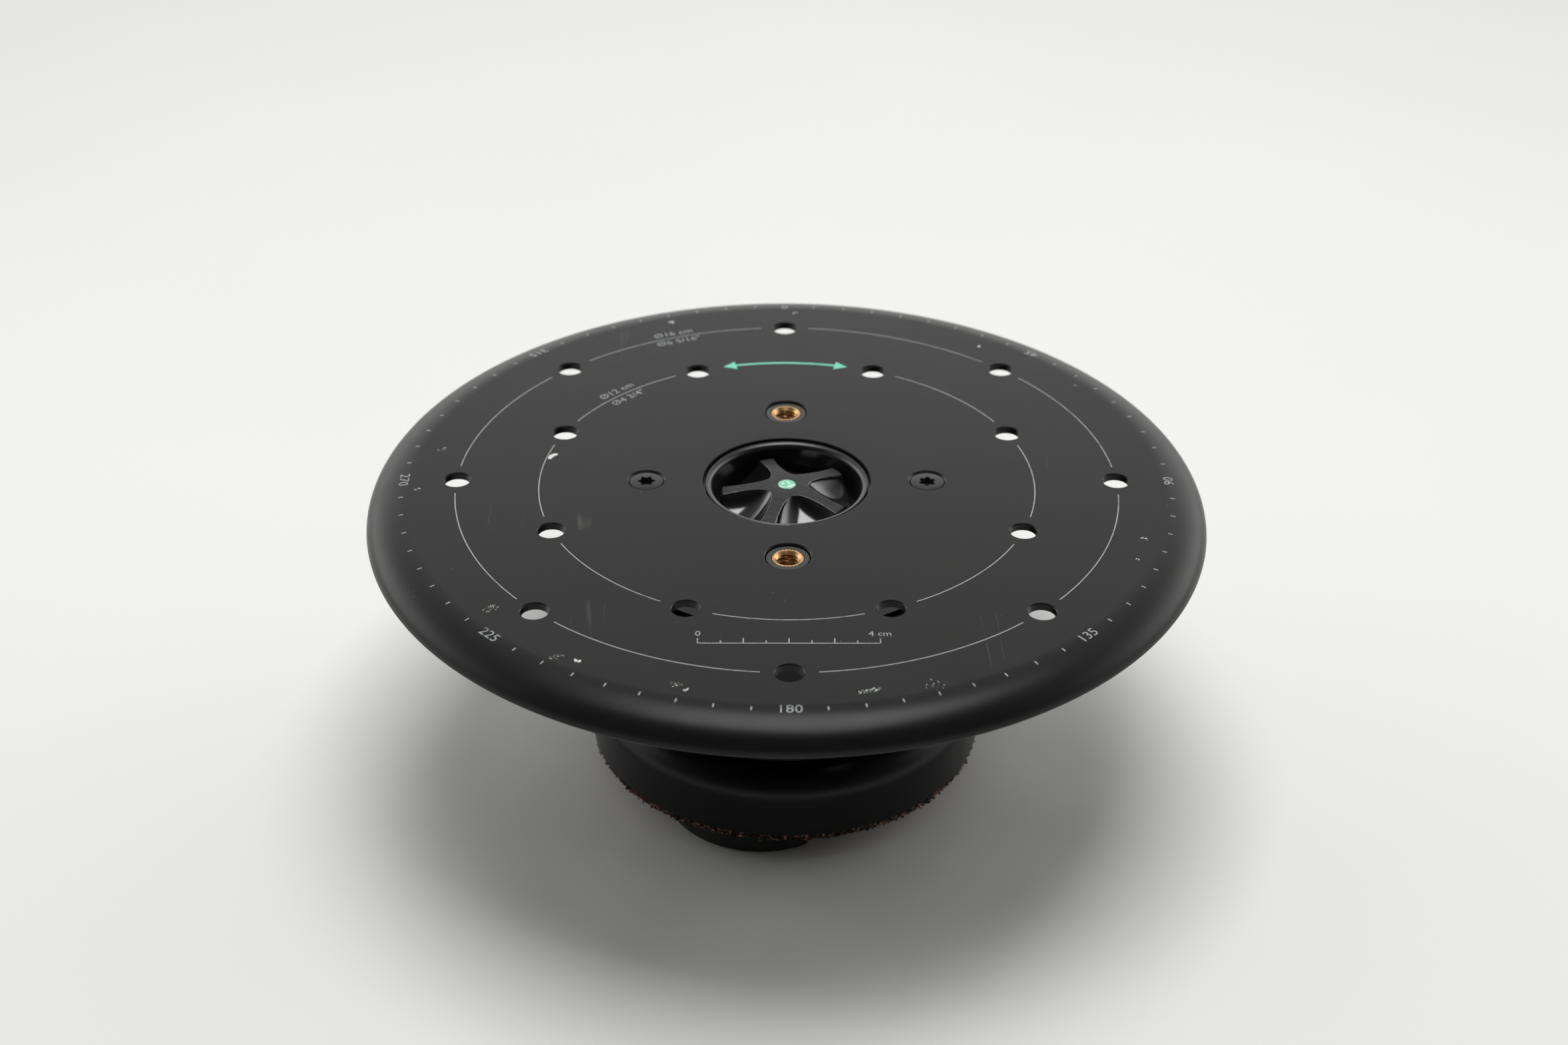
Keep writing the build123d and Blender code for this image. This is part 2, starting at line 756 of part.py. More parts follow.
with BuildPart() as base_pad:
    ring(base_pad_outer, base_pad_inner, base_top, housing_low)
    with Locations(cable_place):
        disc(cable_hole_radius, base_top, housing_low, mode=Mode.SUBTRACT)

with BuildPart() as base_drum:
    disc(base_radius, base_low, base_top)
    fillet(base_drum.edges().group_by(Axis.Z)[-1], base_round)
    disc(base_radius - base_wall, base_low, base_under, mode=Mode.SUBTRACT)
    fillet(round_edges(base_drum, base_radius - base_wall).group_by(Axis.Z)[-1], base_inner_round)
    with Locations(*base_screw_places):
        disc(base_boss_radius, base_low + base_plate_thickness, base_under)
        disc(base_screw_radius, base_low + base_plate_thickness, base_screw_top, mode=Mode.SUBTRACT)
    with Locations(*board_post_places):
        disc(board_post_radius, board_top, base_under)
        disc(board_screw_radius, board_top, board_top + board_pilot_depth, mode=Mode.SUBTRACT)
    disc(stud_clearance_radius, base_under, base_top, mode=Mode.SUBTRACT)
    with Locations(cable_place):
        disc(cable_hole_radius, base_under, base_top, mode=Mode.SUBTRACT)
    with BuildSketch(Plane.XZ.offset(-base_radius)):
        with Locations((usb_x, board_top + usb_height / 2)):
            SlotOverall(usb_width + usb_slot_margin, usb_height + usb_slot_margin)
        with Locations((light_x, light_z)):
            Circle(light_radius + running_gap)
        with Locations((0, button_z)):
            Circle(button_radius + button_clearance)
    extrude(amount=base_radius - board_back, mode=Mode.SUBTRACT)

with BuildPart() as base_clamp_screw:
    disc(clamp_screw_head_radius, base_under - clamp_screw_head, base_under)
    fillet(base_clamp_screw.edges().group_by(Axis.Z)[0], clamp_screw_round)
    disc(clamp_screw_radius, base_under, clamp_screw_top)
    with BuildSketch(Plane.XY.offset(base_under - clamp_screw_head)):
        RegularPolygon(clamp_socket_radius, 6)
    extrude(amount=clamp_socket_depth, mode=Mode.SUBTRACT)

with BuildPart() as base_plate:
    disc(base_plate_radius, base_low, base_low + base_plate_thickness)
    with Locations(*base_screw_places):
        disc(base_screw_radius, base_low, base_low + base_plate_thickness, mode=Mode.SUBTRACT)
        cone(base_screw_head, base_screw_radius, base_low, base_low + base_screw_cone, mode=Mode.SUBTRACT)

with BuildPart() as base_plate_screws:
    with Locations(*base_screw_places):
        cone(base_screw_head, base_screw_radius, base_low, base_low + base_screw_cone)
        disc(base_screw_radius, base_low + base_screw_cone, base_screw_top)
        with Locations((0, 0, base_low)):
            cross_recess(base_slot_depth)

with BuildPart() as cork_ring:
    ring(cork_radius, cork_inner_radius, cork_low, base_low)

with BuildPart() as feet:
    for foot_angle in foot_angles:
        with BuildSketch(Plane.XY.rotated((0, 0, foot_angle))):
            with Locations((foot_curve_centre, 0)):
                Circle(foot_curve)
            with Locations(((foot_inner + foot_outer) / 2, (foot_square_end - foot_curve) / 2)):
                Rectangle(foot_outer - foot_inner, foot_square_end + foot_curve, mode=Mode.INTERSECT)
            fillet(vertices(), foot_corner)
        extrude(amount=cork_low)
    fillet(feet.edges().group_by(Axis.Z)[0], foot_round)


# ---------------------------------------------------------------- electronics and controls

with BuildPart() as circuit_board:
    with Locations((0, (board_front + board_back) / 2, board_low)):
        Box(board_width, board_back - board_front, board_thickness, align=BOTTOM)
    fillet(circuit_board.edges().filter_by(Axis.Z), board_round)
    with Locations(*board_post_places):
        disc(board_screw_radius + locating_gap, board_low, board_top, mode=Mode.SUBTRACT)

with BuildPart() as board_screws:
    with Locations(*board_post_places):
        disc(board_screw_head, board_low - board_screw_head_height, board_low)
        disc(board_screw_radius, board_low, board_top + board_screw_reach)

with BuildPart() as board_chips:
    for x, y, length, width, height in chips:
        with Locations((x, y, board_top)):
            Box(length, width, height, align=BOTTOM)

with BuildPart() as battery_pack:
    with Locations((*battery_centre, battery_low)):
        Box(*battery_size, align=BOTTOM)
    fillet(battery_pack.edges().filter_by(Axis.X), battery_round)

with BuildPart() as usb_socket:
    with BuildSketch(Plane.XZ.offset(-usb_mouth)):
        with Locations((usb_x, board_top + usb_height / 2)):
            SlotOverall(usb_width, usb_height)
    extrude(amount=usb_mouth - usb_front)
    with BuildSketch(Plane.XZ.offset(-usb_mouth)):
        with Locations((usb_x, board_top + usb_height / 2)):
            SlotOverall(usb_width - 2 * usb_wall, usb_height - 2 * usb_wall)
            Rectangle(usb_tongue_width, usb_tongue, mode=Mode.SUBTRACT)
    extrude(amount=usb_depth, mode=Mode.SUBTRACT)

with BuildPart() as status_light:
    with BuildSketch(Plane.XZ.offset(-light_end)):
        with Locations((light_x, light_z)):
            Circle(light_radius)
    extrude(amount=light_end - light_front)
    with BuildSketch(Plane.XZ.offset(-light_front)):
        with Locations((light_x, (light_z + board_top) / 2 + light_radius / 2)):
            Rectangle(2 * light_radius, light_z - board_top + light_radius)
    extrude(amount=light_foot)

with BuildPart() as button_switch:
    with Locations((0, switch_front + switch_size[1] / 2, board_top)):
        Box(*switch_size, align=BOTTOM)
    with BuildSketch(Plane.XZ.offset(-switch_plunger_end)):
        with Locations((0, button_z)):
            Circle(switch_plunger_radius)
    extrude(amount=switch_plunger_end - switch_plunger_back)

with BuildPart() as power_button:
    with BuildSketch(Plane.XZ.offset(-base_radius - button_proud)):
        with Locations((0, button_z)):
            Circle(button_radius)
    extrude(amount=base_radius + button_proud - button_flange_back)
    fillet(power_button.edges().group_by(Axis.Y)[-1], button_round)
    with BuildSketch(Plane.XZ.offset(-button_flange_back)):
        with Locations((0, button_z)):
            Circle(button_flange_radius)
    extrude(amount=button_flange)
    with BuildSketch(Plane.XZ.offset(-button_flange_back + button_flange)):
        with Locations((0, button_z)):
            Circle(button_stem_radius)
    extrude(amount=button_flange_back - button_flange - button_stem_end)

with BuildPart() as motor_cable:
    motor_side = polar_point(motor_radius + motor_can_radius, motor_angle)
    plug_end = (plug_x + plug_size[0] / 2, cable_place[1], board_top + plug_size[2] / 2)
    with BuildLine() as cable_route:
        FilletPolyline(
            (*motor_side, cable_top),
            (*cable_place, cable_top),
            (*cable_place, plug_end[2]),
            plug_end,
            radius=cable_bend,
        )
    with BuildSketch(Plane(cable_route.line @ 0, z_dir=cable_route.line % 0)):
        Circle(cable_radius)
    sweep()

with BuildPart() as cable_plug:
    with Locations((plug_x, cable_place[1], board_top)):
        Box(*plug_size, align=BOTTOM)

pieces = {
    "platter": platter,
    "hub": hub,
    "threaded_inserts": threaded_inserts,
    "platter_screws": platter_screws,
    "hub_pad": hub_pad,
    "drive_disc": drive_disc,
    "spindle_screws": spindle_screws,
    "output_spindle": output_spindle,
    "output_gear": output_gear,
    "shaft_circlip": shaft_circlip,
    "bearing_inner_race": bearing_inner_race,
    "clamp_knob": clamp_knob,
    "knob_stud": knob_stud,
    "knob_dot": knob_dot,
    "knob_washer": knob_washer,
    "bearing_balls": bearing_balls,
    "bearing_cage": bearing_cage,
    "bearing_outer_race": bearing_outer_race,
    "compound_gear": compound_gear,
    "motor_pinion": motor_pinion,
    "motor_shaft": motor_shaft,
    "chassis": chassis,
    "chassis_screws": chassis_screws,
    "gear_pin": gear_pin,
    "gear_clip": gear_clip,
    "motor": motor,
    "motor_screws": motor_screws,
    "drive_housing": drive_housing,
    "base_pad": base_pad,
    "base_drum": base_drum,
    "base_clamp_screw": base_clamp_screw,
    "base_plate": base_plate,
    "base_plate_screws": base_plate_screws,
    "cork_ring": cork_ring,
    "feet": feet,
    "circuit_board": circuit_board,
    "board_screws": board_screws,
    "board_chips": board_chips,
    "battery_pack": battery_pack,
    "usb_socket": usb_socket,
    "status_light": status_light,
    "button_switch": button_switch,
    "power_button": power_button,
    "motor_cable": motor_cable,
    "cable_plug": cable_plug,
}

for name, piece in pieces.items():
    piece.part.label = name
    export_step(piece.part, f"parts/{name}.step")
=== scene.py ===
import json
import math
import random

import bmesh
import bpy
from mathutils import Matrix, Vector, noise


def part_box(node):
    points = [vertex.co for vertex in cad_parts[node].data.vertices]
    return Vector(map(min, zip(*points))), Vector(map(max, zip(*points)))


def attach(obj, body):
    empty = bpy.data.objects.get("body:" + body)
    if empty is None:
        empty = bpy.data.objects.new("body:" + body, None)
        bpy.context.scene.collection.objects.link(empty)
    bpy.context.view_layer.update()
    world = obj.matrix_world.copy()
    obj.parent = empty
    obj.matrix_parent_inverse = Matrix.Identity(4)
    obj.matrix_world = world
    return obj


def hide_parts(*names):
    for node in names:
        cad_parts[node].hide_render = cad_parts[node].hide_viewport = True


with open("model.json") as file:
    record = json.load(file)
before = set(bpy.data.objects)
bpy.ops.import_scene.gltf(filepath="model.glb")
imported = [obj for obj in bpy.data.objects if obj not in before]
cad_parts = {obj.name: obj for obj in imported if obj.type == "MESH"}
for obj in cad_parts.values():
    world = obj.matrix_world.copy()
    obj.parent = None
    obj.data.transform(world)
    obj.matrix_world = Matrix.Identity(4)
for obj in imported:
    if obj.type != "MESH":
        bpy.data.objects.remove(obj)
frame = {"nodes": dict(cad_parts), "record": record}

MM = 0.001
TAU = 2 * math.pi


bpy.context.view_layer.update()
NODES = frame["nodes"]

# ---------------------------------------------------------------- driving sizes, from the frame
PLATTER_LOW, PLATTER_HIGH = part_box("platter")
HUB_LOW, HUB_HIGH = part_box("hub")
CORK_LOW, CORK_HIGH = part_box("cork_ring")
KNOB_LOW, KNOB_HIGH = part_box("clamp_knob")
DOT_LOW, DOT_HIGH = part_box("knob_dot")
INSERT_LOW, INSERT_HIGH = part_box("threaded_inserts")
SCREW_LOW, SCREW_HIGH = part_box("platter_screws")
TOP = PLATTER_HIGH.z
RIM = PLATTER_HIGH.x
WELL_TOP = HUB_HIGH.z
MOUNTS = {m["name"]: m for m in frame["record"]["mounts"]}
OUTER_CIRCLE = MOUNTS["outer_fixing_holes"]["dims"]["pcd_mm"] / 2 * MM
INNER_CIRCLE = MOUNTS["inner_fixing_holes"]["dims"]["pcd_mm"] / 2 * MM
HOLE_RADIUS = MOUNTS["outer_fixing_holes"]["dims"]["hole_r_mm"] * MM
INSERT_BORE = MOUNTS["front_insert"]["dims"]["r_mm"] * MM
INSERT_OFFSET = MOUNTS["rear_insert"]["pos_m"][1]
INSERT_RADIUS = INSERT_HIGH.x
SCREW_HEAD = (SCREW_HIGH.y - SCREW_LOW.y) / 2
SCREW_OFFSET = SCREW_HIGH.x - SCREW_HEAD
SHEET = 1.8 * MM


# ---------------------------------------------------------------- mesh helpers
def add_mesh(name, points, faces, material, body, sharp=35.0):
    """A smooth-shaded mesh object that rides on a body, with edges sharper than the given angle kept crisp."""
    mesh = bpy.data.meshes.new(name)
    mesh.from_pydata([tuple(p) for p in points], [], faces)
    mesh.validate()
    tidy = bmesh.new()
    tidy.from_mesh(mesh)
    bmesh.ops.recalc_face_normals(tidy, faces=tidy.faces)
    tidy.to_mesh(mesh)
    tidy.free()
    mesh.polygons.foreach_set("use_smooth", [True] * len(mesh.polygons))
    mesh.set_sharp_from_angle(angle=math.radians(sharp))
    mesh.materials.append(material)
    piece = bpy.data.objects.new(name, mesh)
    bpy.context.scene.collection.objects.link(piece)
    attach(piece, body)
    return piece


def lathe(profile, steps, centre=(0, 0), wave=None):
    """Points and faces of a closed (r, z) loop turned about a vertical axis. wave(angle, r, z) may move a point."""
    points, faces, index = [], [], []
    for r, z in profile:
        if r < 1e-9:
            index.append([len(points)] * steps)
            points.append((centre[0], centre[1], z))
            continue
        row = []
        for j in range(steps):
            a = TAU * j / steps
            rr, zz = wave(a, r, z) if wave else (r, z)
            row.append(len(points))
            points.append((centre[0] + rr * math.cos(a), centre[1] + rr * math.sin(a), zz))
        index.append(row)
    for i in range(len(index)):
        one, two = index[i], index[(i + 1) % len(index)]
        for j in range(steps):
            k = (j + 1) % steps
            face = []
            for v in (one[j], one[k], two[k], two[j]):
                if v not in face:
                    face.append(v)
            if len(face) > 2:
                faces.append(face)
    return points, faces


def rounded(path, cuts=6):
    """A closed (r, z, rounding) loop with each corner rounded by an arc of its own radius."""
    out = []
    count = len(path)
    for i, (r, z, radius) in enumerate(path):
        here = Vector((r, z))
        if radius <= 0:
            out.append((r, z))
            continue
        before = (Vector(path[i - 1][:2]) - here).normalized()
        after = (Vector(path[(i + 1) % count][:2]) - here).normalized()
        half = before.angle(after) / 2
        reach = radius / math.tan(half)
        centre = here + (before + after).normalized() * (radius / math.sin(half))
        start, end = here + before * reach - centre, here + after * reach - centre
        turn = start.angle_signed(end)
        for k in range(cuts + 1):
            spin = Matrix.Rotation(-turn * k / cuts, 2)
            p = centre + spin @ start
            out.append((p.x, p.y))
    return out


def join(parts):
    """Several (points, faces) pairs as one."""
    points, faces = [], []
    for more_points, more_faces in parts:
        base = len(points)
        points += more_points
        faces += [[base + v for v in face] for face in more_faces]
    return points, faces


def on_circle(radius, dial_angle):
    """The point at a dial angle in degrees, clockwise from the 0 mark at the back."""
    a = math.radians(dial_angle)
    return radius * math.sin(a), radius * math.cos(a)


# ---------------------------------------------------------------- material helpers
class Nodes:
    """A short way to build a node material around one Principled shader."""

    def __init__(self, name):
        self.material = bpy.data.materials.new(name)
        self.material.use_nodes = True
        self.tree = self.material.node_tree
        self.shader = self.tree.nodes["Principled BSDF"]
        self.place = self.add("ShaderNodeTexCoord").outputs["Object"]

    def add(self, kind, **settings):
        node = self.tree.nodes.new(kind)
        for key, value in settings.items():
            setattr(node, key, value)
        return node

    def link(self, source, target):
        self.tree.links.new(source, target)

    def feed(self, socket, value):
        if isinstance(value, bpy.types.NodeSocket):
            self.link(value, socket)
        else:
            socket.default_value = value

    def noise(self, scale, detail=3.0, roughness=0.5, vector=None):
        node = self.add("ShaderNodeTexNoise")
        self.link(vector or self.place, node.inputs["Vector"])
        node.inputs["Scale"].default_value = scale
        node.inputs["Detail"].default_value = detail
        node.inputs["Roughness"].default_value = roughness
        return node.outputs["Fac"]

    def cells(self, scale, feature="F1", vector=None):
        node = self.add("ShaderNodeTexVoronoi", feature=feature)
        self.link(vector or self.place, node.inputs["Vector"])
        node.inputs["Scale"].default_value = scale
        return node.outputs

    def stretch(self, scale, turn=0.0):
        node = self.add("ShaderNodeMapping")
        self.link(self.place, node.inputs["Vector"])
        node.inputs["Scale"].default_value = scale
        node.inputs["Rotation"].default_value = (0, 0, turn)
        return node.outputs["Vector"]

    def ramp(self, value, low, high, from_value=0.0, to_value=1.0):
        node = self.add("ShaderNodeMapRange", clamp=True)
        self.link(value, node.inputs["Value"])
        node.inputs["From Min"].default_value = low
        node.inputs["From Max"].default_value = high
        node.inputs["To Min"].default_value = from_value
        node.inputs["To Max"].default_value = to_value
        return node.outputs["Result"]

    def maths(self, operation, one, two=0.0):
        node = self.add("ShaderNodeMath", operation=operation)
        self.feed(node.inputs[0], one)
        self.feed(node.inputs[1], two)
        return node.outputs["Value"]

    def mix(self, amount, one, two):
        node = self.add("ShaderNodeMix", data_type="RGBA")
        self.feed(node.inputs["Factor"], amount)
        self.feed(node.inputs["A"], one if isinstance(one, bpy.types.NodeSocket) else (*one, 1))
        self.feed(node.inputs["B"], two if isinstance(two, bpy.types.NodeSocket) else (*two, 1))
        return node.outputs["Result"]

    def bump(self, height, distance, strength=1.0, under=None):
        node = self.add("ShaderNodeBump")
        self.link(height, node.inputs["Height"])
        node.inputs["Distance"].default_value = distance
        node.inputs["Strength"].default_value = strength
        if under:
            self.link(under, node.inputs["Normal"])
        return node.outputs["Normal"]

    def finish(self, color, roughness, metallic=0.0, normal=None, **more):
        shader = self.shader.inputs
        self.feed(shader["Base Color"], color if isinstance(color, bpy.types.NodeSocket) else (*color, 1))
        self.feed(shader["Roughness"], roughness)
        self.feed(shader["Metallic"], metallic)
        if normal:
            self.link(normal, shader["Normal"])
        for key, value in more.items():
            self.feed(shader[key.replace("_", " ")], value)
        return self.material


def shade(color, factor):
    return tuple(min(1.0, c * factor) for c in color)


def plain_material(name, color, roughness, metallic=0.0, grain=900.0, grain_depth=0.02, spread=0.25, **more):
    """A moulded or machined surface: slow colour drift, fine grain and uneven gloss."""
    n = Nodes(name)
    drift = n.ramp(n.noise(35.0, 4.0), 0.3, 0.7)
    tone = n.mix(drift, shade(color, 1 - spread / 2), shade(color, 1 + spread / 2))
    gloss = n.ramp(n.noise(160.0, 5.0), 0.3, 0.7, roughness * 0.88, min(1.0, roughness * 1.12))
    normal = n.bump(n.noise(grain, 2.0), grain_depth * MM)
    return n.finish(tone, gloss, metallic, normal, **more)


def brushed_material(name, color, roughness, turned=True):
    """Machined metal with fine tool marks: rings about Z, or streaks along X."""
    n = Nodes(name)
    marks = n.noise(260.0, 3.0, 0.6, n.stretch((0.15, 1, 6) if turned else (0.05, 1, 1)))
    tone = n.mix(n.ramp(marks, 0.3, 0.7), shade(color, 0.82), shade(color, 1.1))
    normal = n.bump(marks, 0.012 * MM)
    return n.finish(tone, n.ramp(marks, 0.3, 0.7, roughness * 0.8, roughness * 1.25), 1.0, normal)


def scratch_mask(n, scale, turn, threshold):
    """Thin, sparse, slightly wandering scratches in one direction."""
    field = n.noise(scale, 0.0, 0.5, n.stretch((1, 0.07, 1), turn))
    thin = n.ramp(n.maths("ABSOLUTE", n.maths("SUBTRACT", field, 0.5)), 0.0, 0.0025, 1.0, 0.0)
    patchy = n.ramp(n.noise(30.0, 2.0), threshold, threshold + 0.06)
    return n.maths("MULTIPLY", thin, patchy)


def platter_material():
    """Satin black powder coat with a fine texture, hairline scratches and a little dust."""
    n = Nodes("satin_black_coat")
    drift = n.ramp(n.noise(18.0, 5.0), 0.3, 0.7)
    coat = n.mix(drift, (0.0070, 0.0070, 0.0069), (0.0086, 0.0086, 0.0084))
    marks = n.maths("MAXIMUM", scratch_mask(n, 30.0, 0.5, 0.6), scratch_mask(n, 38.0, 2.1, 0.62))
    marks = n.maths("MAXIMUM", marks, scratch_mask(n, 50.0, 1.2, 0.64))
    dust = n.ramp(n.cells(420.0)["Distance"], 0.0, 0.09, 1.0, 0.0)
    dust = n.maths("MULTIPLY", dust, n.ramp(n.noise(60.0, 3.0), 0.6, 0.66))
    tone = n.mix(n.maths("MULTIPLY", marks, 0.13), coat, (0.35, 0.35, 0.34))
    tone = n.mix(n.maths("MULTIPLY", dust, 0.3), tone, (0.4, 0.4, 0.38))
    texture = n.noise(1500.0, 2.0, 0.6)
    normal = n.bump(texture, 0.012 * MM)
    gloss = n.ramp(n.noise(90.0, 5.0), 0.3, 0.7, 0.31, 0.35)
    return n.finish(tone, gloss, 0.0, normal, Specular_IOR_Level=0.2)


def print_material(name, color):
    """Screen-printed ink, thin and worn through in places."""
    n = Nodes(name)
    worn = n.ramp(n.noise(420.0, 4.0, 0.7), 0.50, 0.64)
    faded = n.ramp(n.noise(45.0, 3.0), 0.40, 0.66)
    amount = n.maths("MULTIPLY", n.maths("MULTIPLY", worn, faded), 0.75)
    tone = n.mix(amount, color, (0.03, 0.03, 0.03))
    return n.finish(tone, 0.55)


def knob_material():
    """Gloss black moulding, with a fine spark texture on the tops of the ribs."""
    n = Nodes("knob_black")
    top = n.add("ShaderNodeAttribute", attribute_name="rib_top").outputs["Fac"]
    fleck = n.ramp(n.noise(900.0, 3.0, 0.6), 0.35, 0.75)
    tone = n.mix(n.maths("MULTIPLY", top, fleck), (0.006, 0.006, 0.006), (0.026, 0.026, 0.026))
    gloss = n.ramp(top, 0.0, 1.0, 0.13, 0.5)
    height = n.maths("MULTIPLY", n.noise(1800.0, 3.0, 0.7), top)
    smear = n.noise(60.0, 3.0)
    normal = n.bump(height, 0.05 * MM, 1.0, n.bump(smear, 0.02 * MM))
    return n.finish(tone, gloss, 0.0, normal, Specular_IOR_Level=n.ramp(top, 0.0, 1.0, 1.0, 0.3))


def dot_material():
    """Mint-green inlay with its paint worn to white in patches."""
    n = Nodes("mint_inlay")
    patch = n.ramp(n.noise(620.0, 3.0, 0.6), 0.53, 0.56)
    tone = n.mix(patch, (0.15, 0.57, 0.34), (0.70, 0.76, 0.72))
    return n.finish(tone, n.ramp(patch, 0, 1, 0.35, 0.6), 0.0, n.bump(patch, 0.02 * MM))


def brass_material():
    """Turned brass, its tone and gloss mottled by fine marks."""
    n = Nodes("brass")
    marks = n.noise(500.0, 4.0, 0.6)
    tone = n.mix(n.ramp(marks, 0.3, 0.7), (0.50, 0.29, 0.12), (0.70, 0.45, 0.22))
    return n.finish(tone, n.ramp(marks, 0.3, 0.7, 0.26, 0.4), 1.0, n.bump(marks, 0.01 * MM))


def cork_material():
    """Granulated cork and rubber: brown, rust and black grains."""
    n = Nodes("cork_rubber")
    cell = n.cells(1500.0)
    pick = n.add("ShaderNodeSeparateColor")
    n.link(cell["Color"], pick.inputs["Color"])
    brown = n.mix(n.ramp(pick.outputs["Green"], 0.2, 0.9), (0.09, 0.047, 0.032), (0.40, 0.22, 0.145))
    tone = n.mix(n.ramp(pick.outputs["Red"], 0.42, 0.5), brown, (0.014, 0.013, 0.012))
    height = n.maths("ADD", n.ramp(cell["Distance"], 0, 0.8, 1.0, 0.0), n.noise(2200.0, 3.0))
    return n.finish(tone, 0.9, 0.0, n.bump(height, 0.12 * MM), Specular_IOR_Level=0.2)


def residue_material(name, dark, pale):
    """Dried clay or glue, mottled between two tones."""
    n = Nodes(name)
    tone = n.mix(n.ramp(n.noise(900.0, 4.0), 0.4, 0.6), dark, pale)
    return n.finish(tone, 0.8, 0.0, n.bump(n.noise(2500.0, 3.0), 0.03 * MM))


def drop_material():
    n = Nodes("white_drop")
    tone = n.mix(n.ramp(n.noise(500.0, 3.0), 0.4, 0.6), (0.62, 0.62, 0.6), (0.72, 0.72, 0.7))
    return n.finish(tone, 0.6)


COAT = platter_material()
HUB_FINISH = {"color": (0.008, 0.008, 0.0082), "roughness": 0.3, "grain_depth": 0.008, "Specular_IOR_Level": 0.6}
HUB_BLACK = plain_material("hub_satin_black", grain=1200.0, **HUB_FINISH)
SOFT_TOUCH = {"color": (0.0022, 0.0022, 0.0023), "roughness": 0.31, "grain_depth": 0.008, "Specular_IOR_Level": 0.26}
DRUM_BLACK = plain_material("soft_touch_black", grain=1600.0, **SOFT_TOUCH)
HOUSING_BLACK = plain_material("housing_black", grain=1500.0, **SOFT_TOUCH)
SCREW_BLACK = plain_material("black_oxide", (0.028, 0.028, 0.029), 0.3, 0.5, grain=1800.0, grain_depth=0.008)
FOOT_RUBBER = plain_material("foot_rubber", (0.0135, 0.012, 0.0115), 0.88, grain=700.0, grain_depth=0.09)
PAD_RUBBER = plain_material("pad_rubber", (0.02, 0.02, 0.02), 0.85, grain=900.0, grain_depth=0.05)
PRINT_GREY = print_material("print_grey", (0.29, 0.31, 0.30))
PRINT_MINT = print_material("print_mint", (0.16, 0.60, 0.42))


# ---------------------------------------------------------------- platter
RIM_WIDTH = 10.4 * MM
RIM_CURVE = 6.6 * MM
CENTRE_HOLE = 20.35 * MM
BEVEL = 0.3 * MM
LIP_ROUND = 0.75 * MM
SPIGOT_HOLE = 5.35 * MM
COUNTERSINK = 4.7 * MM


def platter_profile():
    """Half-section of the pressed disc: flat top, elliptical roll, half-round lip and the same inside."""
    low = PLATTER_LOW.z
    under = TOP - SHEET
    flat = RIM - RIM_WIDTH
    cuts = 30
    path = [(CENTRE_HOLE, under), (CENTRE_HOLE, TOP - BEVEL), (CENTRE_HOLE + BEVEL * 0.3, TOP - BEVEL * 0.3)]
    path.append((CENTRE_HOLE + BEVEL, TOP))
    path += [(CENTRE_HOLE + (flat - CENTRE_HOLE) * k / 6, TOP) for k in range(1, 6)]
    lip = low + LIP_ROUND - (TOP - RIM_CURVE)
    outer_end = math.asin(lip / RIM_CURVE)
    inner_end = math.asin(lip / (RIM_CURVE - SHEET))
    for k in range(cuts + 1):
        a = math.pi / 2 + (outer_end - math.pi / 2) * k / cuts
        path.append((flat + RIM_WIDTH * math.cos(a), TOP - RIM_CURVE + RIM_CURVE * math.sin(a)))
    outside = path[-1][0]
    inside = flat + (RIM_WIDTH - SHEET) * math.cos(inner_end)
    middle, half = (outside + inside) / 2, (outside - inside) / 2
    for k in range(1, 12):
        a = -math.pi * k / 12
        path.append((middle + half * math.cos(a), low + LIP_ROUND + LIP_ROUND * math.sin(a)))
    for k in range(cuts // 2 + 1):
        a = inner_end + (math.pi / 2 - inner_end) * k / (cuts // 2)
        path.append((flat + (RIM_WIDTH - SHEET) * math.cos(a), TOP - RIM_CURVE + (RIM_CURVE - SHEET) * math.sin(a)))
    return path


def cutter(radius, place, bevel=BEVEL, floor_radius=None, steps=96):
    """A tool that cuts one hole through the sheet: a straight or tapered wall with a bevel at the mouth."""
    over, under = TOP + 1 * MM, TOP - SHEET - 1 * MM
    if floor_radius is None:
        path = [(0, under), (radius, under), (radius, TOP - bevel), (radius + bevel, TOP), (radius + bevel, over)]
    else:
        slope = (radius - floor_radius) / SHEET
        path = [(0, under), (floor_radius - slope * 1 * MM, under), (radius + slope * 1 * MM, over)]
    return lathe(path + [(0, over)], steps, place)


def build_platter():
    points, faces = lathe(platter_profile(), 384)
    disc = add_mesh("platter_disc", points, faces, COAT, "platter")
    tools = []
    for k in range(8):
        tools.append(cutter(HOLE_RADIUS, on_circle(OUTER_CIRCLE, 45 * k)))
        tools.append(cutter(HOLE_RADIUS, on_circle(INNER_CIRCLE, 45 * k + 22.5)))
    for side in (1, -1):
        tools.append(cutter(SPIGOT_HOLE, (0, side * INSERT_OFFSET)))
        tools.append(cutter(COUNTERSINK, (side * SCREW_OFFSET, 0), floor_radius=COUNTERSINK - SHEET))
    points, faces = join(tools)
    tool = add_mesh("hole_tools", points, faces, COAT, "platter")
    cut = disc.modifiers.new("holes", "BOOLEAN")
    cut.operation = "DIFFERENCE"
    cut.solver = "EXACT"
    cut.object = tool
    bpy.context.view_layer.update()
    graph = bpy.context.evaluated_depsgraph_get()
    mesh = bpy.data.meshes.new_from_object(disc.evaluated_get(graph))
    disc.modifiers.clear()
    disc.data = mesh
    bpy.data.objects.remove(tool)
    mesh.polygons.foreach_set("use_smooth", [True] * len(mesh.polygons))
    mesh.set_sharp_from_angle(angle=math.radians(28))
    weighted = disc.modifiers.new("flat_top_normals", "WEIGHTED_NORMAL")
    weighted.keep_sharp = True
    weighted.weight = 100
    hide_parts("platter")
    return disc


